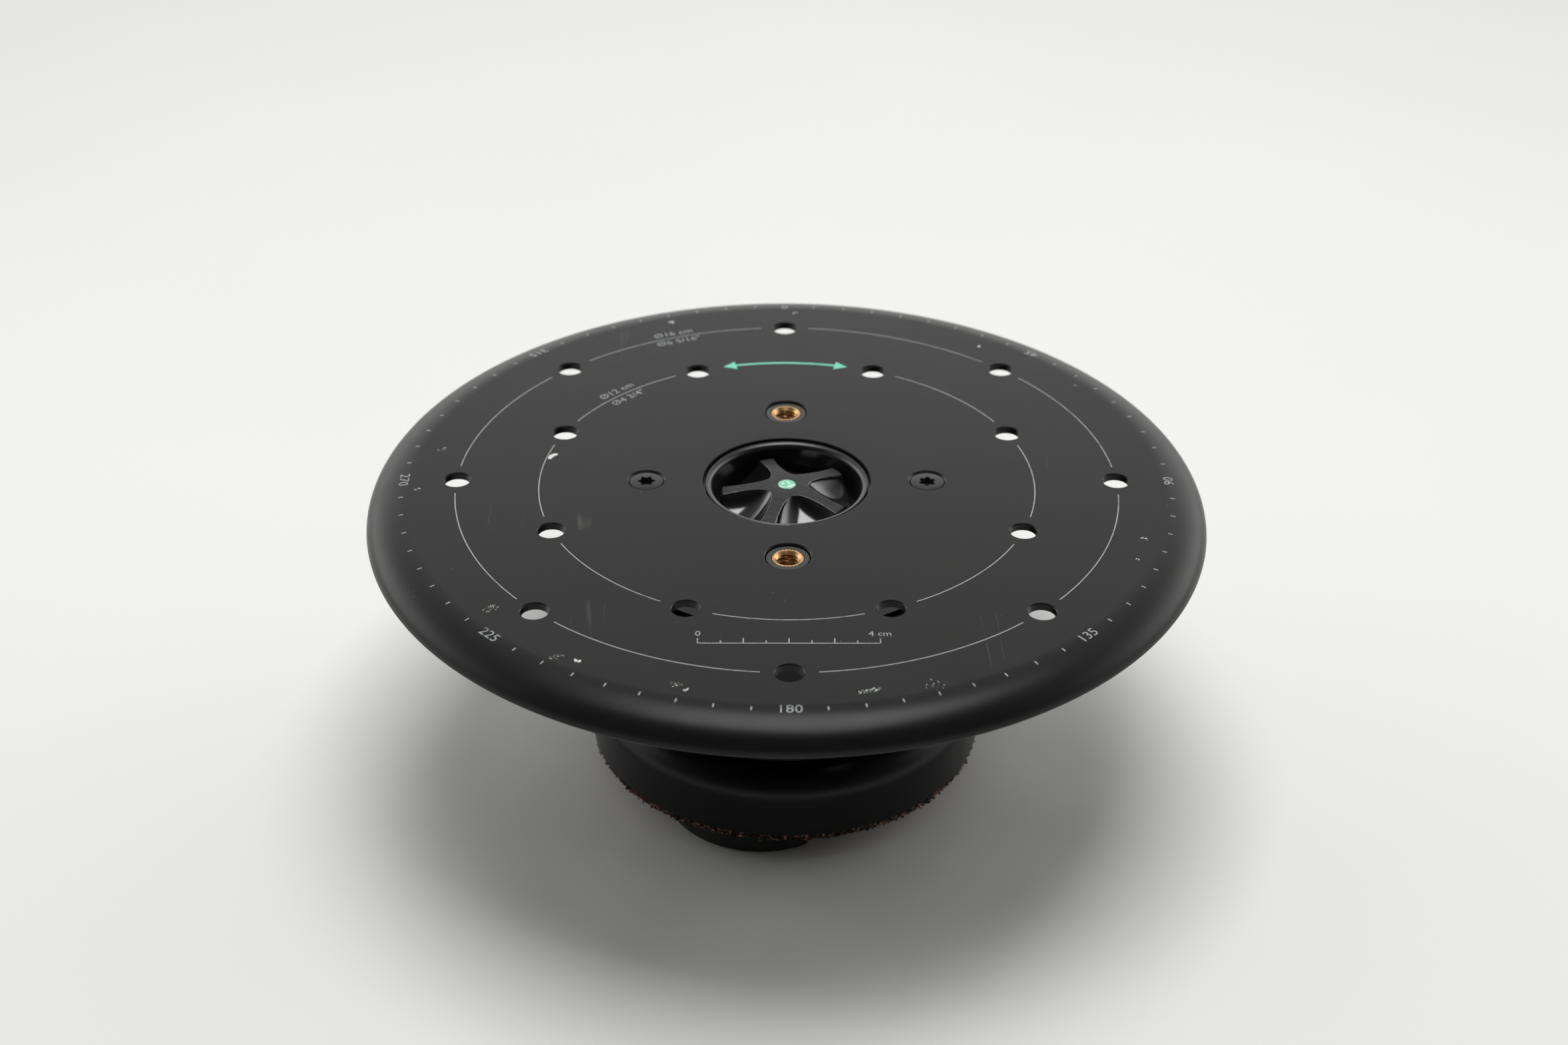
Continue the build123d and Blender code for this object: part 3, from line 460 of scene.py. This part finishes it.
# ---------------------------------------------------------------- printed dial
INK = 0.012 * MM
INK_SINK = 0.01 * MM


def drape(points):
    """Points made for the flat top, lowered onto the roll where they lie beyond the flat."""
    out = []
    for x, y, z in points:
        beyond = max(0.0, math.hypot(x, y) - (RIM - RIM_WIDTH)) / RIM_WIDTH
        out.append((x, y, z - RIM_CURVE * (1 - math.sqrt(1 - beyond**2))))
    return out


def strip(radius, width, from_angle, to_angle):
    """A closed, very thin curved bar of ink along a circle, between two dial angles."""
    steps = max(2, int(abs(to_angle - from_angle) / 1.0) + 1)
    points, faces = [], []
    for k in range(steps + 1):
        a = from_angle + (to_angle - from_angle) * k / steps
        for r, z in (
            (radius - width / 2, TOP - INK_SINK),
            (radius + width / 2, TOP - INK_SINK),
            (radius + width / 2, TOP + INK),
            (radius - width / 2, TOP + INK),
        ):
            x, y = on_circle(r, a)
            points.append((x, y, z))
    for k in range(steps):
        for e in range(4):
            f = (e + 1) % 4
            faces.append([4 * k + e, 4 * k + f, 4 * k + 4 + f, 4 * k + 4 + e])
    faces.append([0, 1, 2, 3])
    faces.append([4 * steps + v for v in (3, 2, 1, 0)])
    return points, faces


def slab(outline):
    """A closed, very thin flat shape of ink with the given (x, y) outline."""
    count = len(outline)
    points = [(x, y, TOP - INK_SINK) for x, y in outline] + [(x, y, TOP + INK) for x, y in outline]
    faces = [list(range(count)), list(range(2 * count - 1, count - 1, -1))]
    faces += [[k, (k + 1) % count, count + (k + 1) % count, count + k] for k in range(count)]
    return points, faces


def bar(x0, y0, x1, y1):
    return slab([(x0, y0), (x1, y0), (x1, y1), (x0, y1)])


def lettering(text, height, place, turn, width=1.0, fine=None):
    """Closed ink letters, centred on a place and turned by an angle in degrees. Edges stay shorter than fine."""
    curve = bpy.data.curves.new("ink_text", "FONT")
    curve.body = text
    curve.size = height / 0.73
    curve.extrude = (INK + INK_SINK) / 2
    curve.align_x = "CENTER"
    curve.align_y = "CENTER"
    curve.resolution_u = 3
    writer = bpy.data.objects.new("ink_text", curve)
    bpy.context.scene.collection.objects.link(writer)
    bpy.context.view_layer.update()
    mesh = bpy.data.meshes.new_from_object(writer.evaluated_get(bpy.context.evaluated_depsgraph_get()))
    bpy.data.objects.remove(writer)
    weld = bmesh.new()
    weld.from_mesh(mesh)
    bmesh.ops.remove_doubles(weld, verts=weld.verts, dist=1e-7)
    move = Matrix.Translation((*place, TOP + (INK - INK_SINK) / 2)) @ Matrix.Rotation(math.radians(turn), 4, "Z")
    move = move @ Matrix.Diagonal((width, 1, 1, 1))
    bmesh.ops.transform(weld, matrix=move, verts=weld.verts)
    if fine:
        for _ in range(4):
            long = [e for e in weld.edges if e.calc_length() > fine]
            bmesh.ops.subdivide_edges(weld, edges=long, cuts=1)
            bmesh.ops.triangulate(weld, faces=weld.faces)
    points = [tuple(v.co) for v in weld.verts]
    weld.verts.index_update()
    faces = [[v.index for v in f.verts] for f in weld.faces]
    weld.free()
    bpy.data.meshes.remove(mesh)
    return points, faces


LINE = 0.28 * MM
TICK = 0.36 * MM
HOLE_GAP = 6.4 * MM
TICK_INNER = 92.4 * MM
TICK_OUTER = 93.5 * MM
NUMERAL_CIRCLE = 92.9 * MM
NUMERAL_HEIGHT = 2.5 * MM
TURN_MARK_SPAN = 7


def build_print():
    parts = []
    for circle, start in ((OUTER_CIRCLE, 0.0), (INNER_CIRCLE, 22.5)):
        gap = math.degrees(HOLE_GAP / circle)
        for k in range(8):
            if circle == OUTER_CIRCLE or k != TURN_MARK_SPAN:
                parts.append(strip(circle, LINE, start + 45 * k + gap, start + 45 * (k + 1) - gap))
    middle, length = (TICK_INNER + TICK_OUTER) / 2, TICK_OUTER - TICK_INNER
    half_width = math.degrees(TICK / 2 / middle)
    for degree in range(0, 360, 5):
        if degree % 45:
            parts.append(strip(middle, length, degree - half_width, degree + half_width))
        else:
            place = on_circle(NUMERAL_CIRCLE, degree)
            parts.append(lettering(str(degree), NUMERAL_HEIGHT, place, 180 - degree, 1.1, 0.4 * MM))
    for circle, dial_angle, outer_text, inner_text in (
        (OUTER_CIRCLE, 338.5, "Ø16 cm", 'Ø6 5/16"'),
        (INNER_CIRCLE, 315.5, "Ø12 cm", 'Ø4 3/4"'),
    ):
        for text, shift in ((outer_text, 2.3 * MM), (inner_text, -2.3 * MM)):
            parts.append(lettering(text, 2.2 * MM, on_circle(circle + shift, dial_angle), -dial_angle, 1.1))
    parts += scale_bar()
    points, faces = join(parts)
    add_mesh("dial_print", drape(points), faces, PRINT_GREY, "platter")


def scale_bar():
    """A plain 4 cm rule on the front of the dial, with a tick every half centimetre."""
    y, half, unit = -69.0 * MM, 20.0 * MM, 10 * MM
    parts = [bar(-half, y - LINE / 2, half, y + LINE / 2)]
    for k in range(9):
        x = -half + k * unit / 2
        tall = 1.9 * MM if k % 2 == 0 else 1.1 * MM
        parts.append(bar(x - LINE / 2, y + LINE / 2 - INK_SINK, x + LINE / 2, y + tall))
    parts.append(lettering("0", 1.9 * MM, (-half, y + 3.6 * MM), 0))
    parts.append(lettering("4 cm", 1.9 * MM, (half, y + 3.6 * MM), 0))
    return parts


def build_turn_mark():
    """Mint-green arc with an arrow head at each end: the dial turns both ways."""
    circle, reach, head = INNER_CIRCLE, 12.5, 3.4 * MM
    parts = [strip(circle, 0.85 * MM, -reach, reach)]
    for side in (1, -1):
        tip = on_circle(circle, side * (reach + math.degrees(head / circle)))
        inner = on_circle(circle - head * 0.6, side * reach)
        outer = on_circle(circle + head * 0.6, side * reach)
        parts.append(slab([tip, inner, outer] if side > 0 else [tip, outer, inner]))
    points, faces = join(parts)
    add_mesh("turn_mark_print", points, faces, PRINT_MINT, "platter")


# ---------------------------------------------------------------- wear on the dial
def blob(place, size, seed, squeeze=1.0, turn=0.0, steps=14):
    """A small, low, irregular drop of dried residue on the dial."""
    rng = random.Random(seed)
    thick = min(size * 0.25, 0.12 * MM)
    ring = []
    for k in range(steps):
        a = TAU * k / steps
        r = size * (0.65 + 0.5 * rng.random())
        u, v = r * math.cos(a), r * squeeze * math.sin(a)
        ring.append((u * math.cos(turn) - v * math.sin(turn), u * math.sin(turn) + v * math.cos(turn)))
    points = [(place[0] + x, place[1] + y, TOP - INK_SINK) for x, y in ring]
    points += [(place[0] + x * 0.8, place[1] + y * 0.8, TOP + thick * 0.7) for x, y in ring]
    points.append((place[0], place[1], TOP + thick))
    faces = [list(range(steps))]
    for k in range(steps):
        m = (k + 1) % steps
        faces.append([k, m, steps + m, steps + k])
        faces.append([steps + k, steps + m, 2 * steps])
    return points, faces


# Dried residue lies at random in the band between the outer holes and the degree marks.
# Each kind: how many patches, then the ranges of patch length in mm, of fleck count and of the largest fleck in mm
RESIDUE_BAND = (86.0, 90.0)
SMEARS = {"patches": 6, "length": (2.5, 5.5), "count": (14, 60), "largest": (0.16, 0.42)}
SPECKS = {"patches": 9, "length": (0.6, 2.0), "count": (4, 12), "largest": (0.24, 0.60)}


def scattered(kind, seed):
    """Random oval patches: dial angle, radius, length, width, turn, number of flecks and largest fleck."""
    rng = random.Random(seed)
    patches = []
    for _ in range(kind["patches"]):
        length = rng.uniform(*kind["length"])
        patches.append((
            rng.uniform(0, 360), rng.uniform(*RESIDUE_BAND), length, length * rng.uniform(0.25, 0.9),
            rng.uniform(-40, 40), rng.randint(*kind["count"]), rng.uniform(*kind["largest"]),
        ))
    return patches


def flecks(patches, seed):
    """Small low drops scattered over each oval patch."""
    rng = random.Random(seed)
    parts = []
    for dial_angle, radius, length, width, turn, count, largest in patches:
        x, y = on_circle(radius, dial_angle)
        swing = math.radians(turn)
        for _ in range(count):
            a, r = rng.random() * TAU, math.sqrt(rng.random()) / 2
            along, across = length * r * math.cos(a), width * r * math.sin(a)
            place = (
                (x + along * math.cos(swing) - across * math.sin(swing)) * MM,
                (y + along * math.sin(swing) + across * math.cos(swing)) * MM,
            )
            size = largest * MM * (0.3 + 0.7 * rng.random() ** 1.5)
            parts.append(blob(place, size, rng.random(), 0.4 + 0.5 * rng.random(), swing + rng.gauss(0, 0.5)))
    return join(parts)


def build_residue():
    smear = residue_material("dried_clay", (0.14, 0.16, 0.14), (0.50, 0.53, 0.48))
    points, faces = flecks(scattered(SMEARS, 3), 7)
    add_mesh("dried_smears", drape(points), faces, smear, "platter")
    speck = residue_material("dried_specks_white", (0.45, 0.46, 0.43), (0.78, 0.78, 0.74))
    points, faces = flecks(scattered(SPECKS, 5), 11)
    add_mesh("dried_specks", drape(points), faces, speck, "platter")


# The paint drop is a comma: part of an arc, widest in the middle. Lengths in mm, angles in degrees
DROP_CENTRE = (-56.0, 10.0)
DROP_BEND = 2.3
DROP_FROM, DROP_TO = 187, 100
DROP_HALF_WIDTH = 0.66
DROP_PLACES = 7


def drop_spine():
    """The drop's middle line, as x, y and half width in mm."""
    spine = []
    for k in range(DROP_PLACES):
        t = k / (DROP_PLACES - 1)
        a = math.radians(DROP_FROM + (DROP_TO - DROP_FROM) * t)
        width = DROP_HALF_WIDTH * math.sin(math.pi * (0.12 + 0.78 * t)) ** 0.6
        spine.append((DROP_CENTRE[0] + DROP_BEND * math.cos(a), DROP_CENTRE[1] + DROP_BEND * math.sin(a), width))
    return spine


def build_white_drop():
    """One comma-shaped drop of dried paint: a low rounded loop round a curved middle line."""
    spine = drop_spine()
    rings = []
    steps = 14
    for k, (x, y, w) in enumerate(spine):
        before, after = spine[max(0, k - 1)], spine[min(len(spine) - 1, k + 1)]
        side = Vector((before[1] - after[1], after[0] - before[0])).normalized()
        ring = []
        for j in range(steps):
            a = TAU * j / steps
            across, up = w * math.cos(a), max(0.0, math.sin(a)) * w * 0.35
            ring.append(((x + side.x * across) * MM, (y + side.y * across) * MM, TOP - INK_SINK + up * MM))
        rings.append(ring)
    points = [p for ring in rings for p in ring]
    faces = [list(range(steps)), list(range((len(rings) - 1) * steps, len(rings) * steps))]
    for k in range(len(rings) - 1):
        for j in range(steps):
            m = (j + 1) % steps
            faces.append([k * steps + j, k * steps + m, (k + 1) * steps + m, (k + 1) * steps + j])
    drop = add_mesh("paint_drop", points, faces, drop_material(), "platter", sharp=60)
    soft = drop.modifiers.new("soft", "SUBSURF")
    soft.levels = 2
    soft.render_levels = 2


# ---------------------------------------------------------------- clamp knob
KNOB_STEPS = 480
KNOB_ROWS = 120
SCOOPS = 5
SCOOP_TURN = math.radians(0.5)
KNOB_RIM = 15.6 * MM
KNOB_SKIRT = KNOB_HIGH.x
KNOB_FLAT = 5.0 * MM
KNOB_FLOOR = KNOB_LOW.z + 0.6 * MM
RIB_DROP = 2.1 * MM
SCOOP_INNER = 5.2
SCOOP_DEEP = 5.0


def smooth(x):
    x = max(0.0, min(1.0, x))
    return x * x * (3 - 2 * x)


def scoop_half_width(x):
    """Half the width of a scoop's plan at a distance x from the axis, in mm: round inside, wide at the skirt."""
    if x <= SCOOP_INNER:
        return -0.5 * (SCOOP_INNER - x)
    return 2.12 * (x - SCOOP_INNER) ** 0.6


def eased(height, span):
    """A height kept above zero, bending into it over a span on either side."""
    if height >= span:
        return height
    return max(0.0, height + span) ** 2 / (4 * span)


def knob_point(x, y):
    """Height of the knob's upper surface at a plan point, and how much it is a rib's top."""
    r = math.hypot(x, y)
    rib = KNOB_HIGH.z - RIB_DROP * smooth((r - KNOB_FLAT * 0.6) / (17.5 * MM))
    edge = max(0.0, r - KNOB_RIM)
    rib -= (edge / (KNOB_SKIRT - KNOB_RIM)) ** 1.6 * 1.4 * MM
    a = (math.atan2(y, x) - SCOOP_TURN + math.pi / SCOOPS) % (TAU / SCOOPS) - math.pi / SCOOPS
    u, v = r * math.cos(a) / MM, r * abs(math.sin(a)) / MM
    half = scoop_half_width(u)
    inside = half - v
    depth = 0.0
    if inside > 0:
        bowl = (1 - (v / half) ** 2) ** 0.75 * smooth(inside / 0.35)
        depth = SCOOP_DEEP * MM * (1 - math.exp((SCOOP_INNER - u) / 4.4)) * bowl
    return rib - depth, 1 - smooth((inside + 0.25) / 0.3)


def build_knob():
    points, faces, tops = [(0, 0, KNOB_HIGH.z)], [], [1.0]
    rows = []
    for i in range(1, KNOB_ROWS + 1):
        r = KNOB_SKIRT * (i / KNOB_ROWS) ** 0.95
        row = []
        for j in range(KNOB_STEPS):
            a = TAU * j / KNOB_STEPS
            x, y = r * math.cos(a), r * math.sin(a)
            z, top = knob_point(x, y)
            row.append(len(points))
            points.append((x, y, KNOB_FLOOR + eased(z - KNOB_FLOOR, 1.2 * MM)))
            tops.append(top)
        rows.append(row)
    for shrink, z in ((1.0, KNOB_LOW.z + 0.25 * MM), (0.985, KNOB_LOW.z)):
        row = []
        for j in range(KNOB_STEPS):
            a = TAU * j / KNOB_STEPS
            row.append(len(points))
            points.append((KNOB_SKIRT * shrink * math.cos(a), KNOB_SKIRT * shrink * math.sin(a), z))
            tops.append(0.0)
        rows.append(row)
    for j in range(KNOB_STEPS):
        k = (j + 1) % KNOB_STEPS
        faces.append([0, rows[0][j], rows[0][k]])
        for one, two in zip(rows, rows[1:]):
            faces.append([one[j], two[j], two[k], one[k]])
    faces.append(rows[-1])
    knob = add_mesh("knob_body", points, faces, knob_material(), "knob", sharp=75)
    mask = knob.data.attributes.new("rib_top", "FLOAT", "POINT")
    mask.data.foreach_set("value", tops)
    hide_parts("clamp_knob")


def build_dot():
    radius = DOT_HIGH.x
    path = rounded([(0, DOT_LOW.z, 0), (radius, DOT_LOW.z, 0), (radius, DOT_HIGH.z, 0.12 * MM), (0, DOT_HIGH.z, 0)])
    points, faces = lathe(path, 64)
    dot = add_mesh("knob_dot_inlay", points, faces, dot_material(), "knob")
    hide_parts("knob_dot")


# ---------------------------------------------------------------- brass inserts
PITCH = 1.27 * MM
THREAD_DEPTH = 0.5 * MM
KNURLS = 28
KNURL_DEPTH = 0.22 * MM


def insert_mesh(place):
    """One brass insert: straight knurl outside, chamfered mouth and a real helical thread inside."""
    low, high = INSERT_LOW.z, INSERT_HIGH.z
    steps = KNURLS * 6
    mouth = 0.65 * MM
    rows = int((high - mouth - low) / (PITCH / 8))
    path = [(INSERT_RADIUS, low), (INSERT_RADIUS, high - 0.15 * MM), (INSERT_RADIUS - 0.12 * MM, high)]
    path.append((INSERT_BORE + mouth, high))
    path += [(INSERT_BORE, high - mouth - (high - mouth - low) * k / rows) for k in range(rows + 1)]

    def wave(a, r, z):
        if r > INSERT_RADIUS - 0.2 * MM:
            tooth = abs((a * KNURLS / TAU) % 1 - 0.5) * 2
            return r - KNURL_DEPTH * tooth, z
        if r < INSERT_BORE + 0.01 * MM and z < high - mouth:
            turn = abs(((z - low) / PITCH - a / TAU) % 1 - 0.5) * 2
            return r + THREAD_DEPTH * smooth(turn * 1.15), z
        return r, z

    return lathe(path, steps, place, wave)


def build_inserts():
    points, faces = join([insert_mesh((0, side * INSERT_OFFSET)) for side in (1, -1)])
    brass = add_mesh("brass_inserts", points, faces, brass_material(), "platter", sharp=30)
    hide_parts("threaded_inserts")


# ---------------------------------------------------------------- platter screws
LOBES = 6
SOCKET_OUT = 2.08 * MM
SOCKET_IN = 1.45 * MM
SOCKET_DEPTH = 1.7 * MM


def socket_radius(a):
    """Six-lobed socket outline."""
    swing = (1 + math.cos(LOBES * a)) / 2
    return SOCKET_IN + (SOCKET_OUT - SOCKET_IN) * swing


def screw_mesh(place, turn):
    top, low = SCREW_HIGH.z, SCREW_LOW.z
    shank, land = 2.0 * MM, 0.3 * MM
    cone_low = top - land - (SCREW_HEAD - shank)
    floor = top - SOCKET_DEPTH
    path = [
        (0, floor - 0.25 * MM),
        (0.5, floor - 0.05 * MM),
        (0.96, floor),
        (1.0, floor + 0.12 * MM),
        (1.0, top - 0.16 * MM),
        (1.06, top),
    ]
    outer = [
        (SCREW_HEAD - 0.35 * MM, top),
        (SCREW_HEAD - 0.1 * MM, top - 0.05 * MM),
        (SCREW_HEAD, top - 0.16 * MM),
        (SCREW_HEAD, top - land),
        (shank, cone_low),
        (shank, low + 0.3 * MM),
        (shank - 0.3 * MM, low),
        (0, low),
    ]

    def wave(a, r, z):
        if r > 0.4:
            return r * socket_radius(a + turn), z
        return r, z

    return lathe(path + outer, 144, place, wave)


def build_screws():
    points, faces = join([screw_mesh((side * SCREW_OFFSET, 0), 0.3 + 0.35 * side) for side in (1, -1)])
    screws = add_mesh("flush_screws", points, faces, SCREW_BLACK, "platter", sharp=32)
    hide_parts("platter_screws")


# ---------------------------------------------------------------- cork ring
def grain(place, size, rng):
    """One torn grain: a squashed, uneven ball."""
    ball = bmesh.new()
    bmesh.ops.create_icosphere(ball, subdivisions=1, radius=size)
    squash = Matrix.Diagonal((0.7 + rng.random(), 0.6 + rng.random() * 0.8, 0.4 + rng.random() * 0.4, 1))
    spin = Matrix.Rotation(rng.random() * TAU, 4, "Z") @ Matrix.Rotation(rng.gauss(0, 0.4), 4, "X")
    for v in ball.verts:
        v.co *= 0.75 + 0.5 * rng.random()
    bmesh.ops.transform(ball, matrix=Matrix.Translation(place) @ spin @ squash, verts=ball.verts)
    ball.verts.index_update()
    points = [tuple(v.co) for v in ball.verts]
    faces = [[v.index for v in f.verts] for f in ball.faces]
    ball.free()
    return points, faces


def build_cork():
    outer, low, high = CORK_HIGH.x, CORK_LOW.z, CORK_HIGH.z
    inner = 20.0 * MM
    rng = random.Random(3)

    def wave(a, r, z):
        if r < outer - 2 * MM:
            return r, z
        p = Vector((math.cos(a) * 90, math.sin(a) * 90, z / MM * 1.6))
        rough = noise.noise(p) * 0.22 + noise.noise(p * 3.1) * 0.2
        return r + (rough - 0.1) * MM, z

    levels = 5
    path = [(inner, low), (inner, high), (outer - 1.0 * MM, high)]
    path += [(outer - (0.25 * MM if k in (0, levels) else 0), high - (high - low) * k / levels)
             for k in range(levels + 1)]
    path.append((outer - 1.0 * MM, low))
    parts = [lathe(path, 900, wave=wave)]
    for _ in range(1500):
        a = rng.random() * TAU
        size = (0.12 + 0.26 * rng.random() ** 2) * MM
        r = outer + rng.gauss(0.05, 0.16) * MM
        z = low + size * 0.4 + (high - low - size * 0.8) * rng.random()
        parts.append(grain((r * math.cos(a), r * math.sin(a), z), size, rng))
    points, faces = join(parts)
    cork = add_mesh("cork_ring_edge", points, faces, cork_material(), "base", sharp=180)
    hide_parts("cork_ring")


# ---------------------------------------------------------------- finishes for the carried-over CAD nodes
def paint_nodes():
    steel = brushed_material("machined_steel", (0.5, 0.5, 0.51), 0.3)
    bearing = brushed_material("bearing_steel", (0.66, 0.66, 0.67), 0.14)
    alloy = brushed_material("machined_alloy", (0.7, 0.71, 0.72), 0.34)
    anodised = plain_material("black_anodised", (0.02, 0.02, 0.022), 0.4, 0.7)
    nylon = plain_material("natural_nylon", (0.72, 0.69, 0.6), 0.45, Subsurface_Weight=0.1)
    finishes = {
        "hub": HUB_BLACK,
        "hub_pad": PAD_RUBBER,
        "base_pad": PAD_RUBBER,
        "drive_disc": anodised,
        "drive_housing": HOUSING_BLACK,
        "base_drum": DRUM_BLACK,
        "power_button": HUB_BLACK,
        "feet": FOOT_RUBBER,
        "chassis": alloy,
        "output_gear": nylon,
        "compound_gear": nylon,
        "cable_plug": nylon,
        "motor_pinion": brass_material(),
        "bearing_inner_race": bearing,
        "bearing_outer_race": bearing,
        "bearing_balls": bearing,
        "bearing_cage": plain_material("glass_filled_cage", (0.16, 0.11, 0.06), 0.5),
        "circuit_board": plain_material("solder_mask", (0.02, 0.16, 0.07), 0.3),
        "board_chips": plain_material("chip_epoxy", (0.02, 0.02, 0.02), 0.45),
        "button_switch": plain_material("switch_body", (0.02, 0.02, 0.02), 0.4),
        "battery_pack": plain_material("battery_wrap", (0.05, 0.16, 0.4), 0.25),
        "status_light": plain_material("light_pipe", (0.75, 0.8, 0.78), 0.12, Transmission_Weight=0.6),
        "motor_cable": plain_material("cable_sheath", (0.02, 0.02, 0.02), 0.5),
    }
    for name, node in NODES.items():
        finish = finishes.get(name, steel)
        node.data.materials.clear()
        node.data.materials.append(finish)


# ---------------------------------------------------------------- floor, light and camera
TENT = {"front": -0.45, "back": 0.6, "dark": 0.05, "bright": 1.55, "low": 0.38, "high": 0.66, "roof": 0.22}
TENT_SIDES = {"from": 0.45, "to": 0.85, "gain": 1.8}
CAMERA_FROM_TOP = Vector((-5.25, -493.08, 296.85)) * MM
CAMERA_TURN = [math.radians(a) for a in (57.925, -0.310, -0.343)]
LENS = 54.42
FOCUS_IN_FRONT = 40 * MM
F_STOP = 14


def build_floor():
    """A plain pale floor with slight unevenness."""
    half = 6.0
    mesh = bpy.data.meshes.new("floor")
    mesh.from_pydata([(-half, -half, 0), (half, -half, 0), (half, half, 0), (-half, half, 0)], [], [(0, 1, 2, 3)])
    n = Nodes("pale_floor")
    tone = n.mix(n.ramp(n.noise(3.0, 4.0), 0.3, 0.7), (0.80, 0.80, 0.785), (0.83, 0.83, 0.815))
    mesh.materials.append(n.finish(tone, 0.9))
    floor = bpy.data.objects.new("floor", mesh)
    bpy.context.scene.collection.objects.link(floor)


def area_light(name, place, target, size, power, size_y=None):
    lamp = bpy.data.lights.new(name, "AREA")
    lamp.shape = "RECTANGLE"
    lamp.size = size
    lamp.size_y = size_y or size
    lamp.energy = power
    light = bpy.data.objects.new(name, lamp)
    light.location = place
    light.rotation_euler = (Vector(target) - Vector(place)).to_track_quat("-Z", "Y").to_euler()
    bpy.context.scene.collection.objects.link(light)


def build_light():
    """A softbox straight overhead in a tent that is bright behind and beside the object and dark in front."""
    world = bpy.data.worlds.new("studio")
    world.use_nodes = True
    tree = world.node_tree
    link = tree.links.new
    background = tree.nodes["Background"]
    background.inputs["Color"].default_value = (1, 1, 0.99, 1)
    place = tree.nodes.new("ShaderNodeTexCoord")
    axes = tree.nodes.new("ShaderNodeSeparateXYZ")
    link(place.outputs["Generated"], axes.inputs["Vector"])

    def fade(value, low, high, from_value, to_value):
        node = tree.nodes.new("ShaderNodeMapRange")
        node.interpolation_type = "SMOOTHSTEP"
        link(value, node.inputs["Value"])
        for name, value in (("From Min", low), ("From Max", high), ("To Min", from_value), ("To Max", to_value)):
            node.inputs[name].default_value = value
        return node.outputs["Result"]

    tent = tree.nodes.new("ShaderNodeMath")
    tent.operation = "MULTIPLY"
    link(fade(axes.outputs["Y"], TENT["front"], TENT["back"], TENT["dark"], TENT["bright"]), tent.inputs[0])
    link(fade(axes.outputs["Z"], TENT["low"], TENT["high"], 1.0, TENT["roof"]), tent.inputs[1])
    sideways = tree.nodes.new("ShaderNodeMath")
    sideways.operation = "ABSOLUTE"
    link(axes.outputs["X"], sideways.inputs[0])
    sides = tree.nodes.new("ShaderNodeMath")
    sides.operation = "MULTIPLY"
    gain = fade(sideways.outputs["Value"], TENT_SIDES["from"], TENT_SIDES["to"], 1.0, TENT_SIDES["gain"])
    link(gain, sides.inputs[0])
    link(tent.outputs["Value"], sides.inputs[1])
    ray = tree.nodes.new("ShaderNodeLightPath")
    seen = tree.nodes.new("ShaderNodeMix")
    link(ray.outputs["Is Camera Ray"], seen.inputs["Factor"])
    link(sides.outputs["Value"], seen.inputs["A"])
    seen.inputs["B"].default_value = 0.86
    link(seen.outputs["Result"], background.inputs["Strength"])
    bpy.context.scene.world = world
    area_light("softbox", (0.05, 0.12, 1.55), (0, 0, 0), 0.95, 18.5)


def build_camera():
    camera = bpy.data.cameras.new("camera")
    camera.sensor_width = 36
    camera.lens = LENS
    camera.clip_start = 0.01
    viewer = bpy.data.objects.new("camera", camera)
    viewer.location = Vector((0, 0, TOP)) + CAMERA_FROM_TOP
    viewer.rotation_euler = CAMERA_TURN
    bpy.context.scene.collection.objects.link(viewer)
    focus = bpy.data.objects.new("focus_point", None)
    focus.location = (0, -FOCUS_IN_FRONT, TOP)
    bpy.context.scene.collection.objects.link(focus)
    camera.dof.use_dof = True
    camera.dof.focus_object = focus
    camera.dof.aperture_fstop = F_STOP
    bpy.context.scene.camera = viewer


build_platter()
build_print()
build_turn_mark()
build_residue()
build_white_drop()
build_knob()
build_dot()
build_inserts()
build_screws()
build_cork()
paint_nodes()
build_floor()
build_light()
build_camera()
bpy.context.scene.view_settings.view_transform = "Standard"
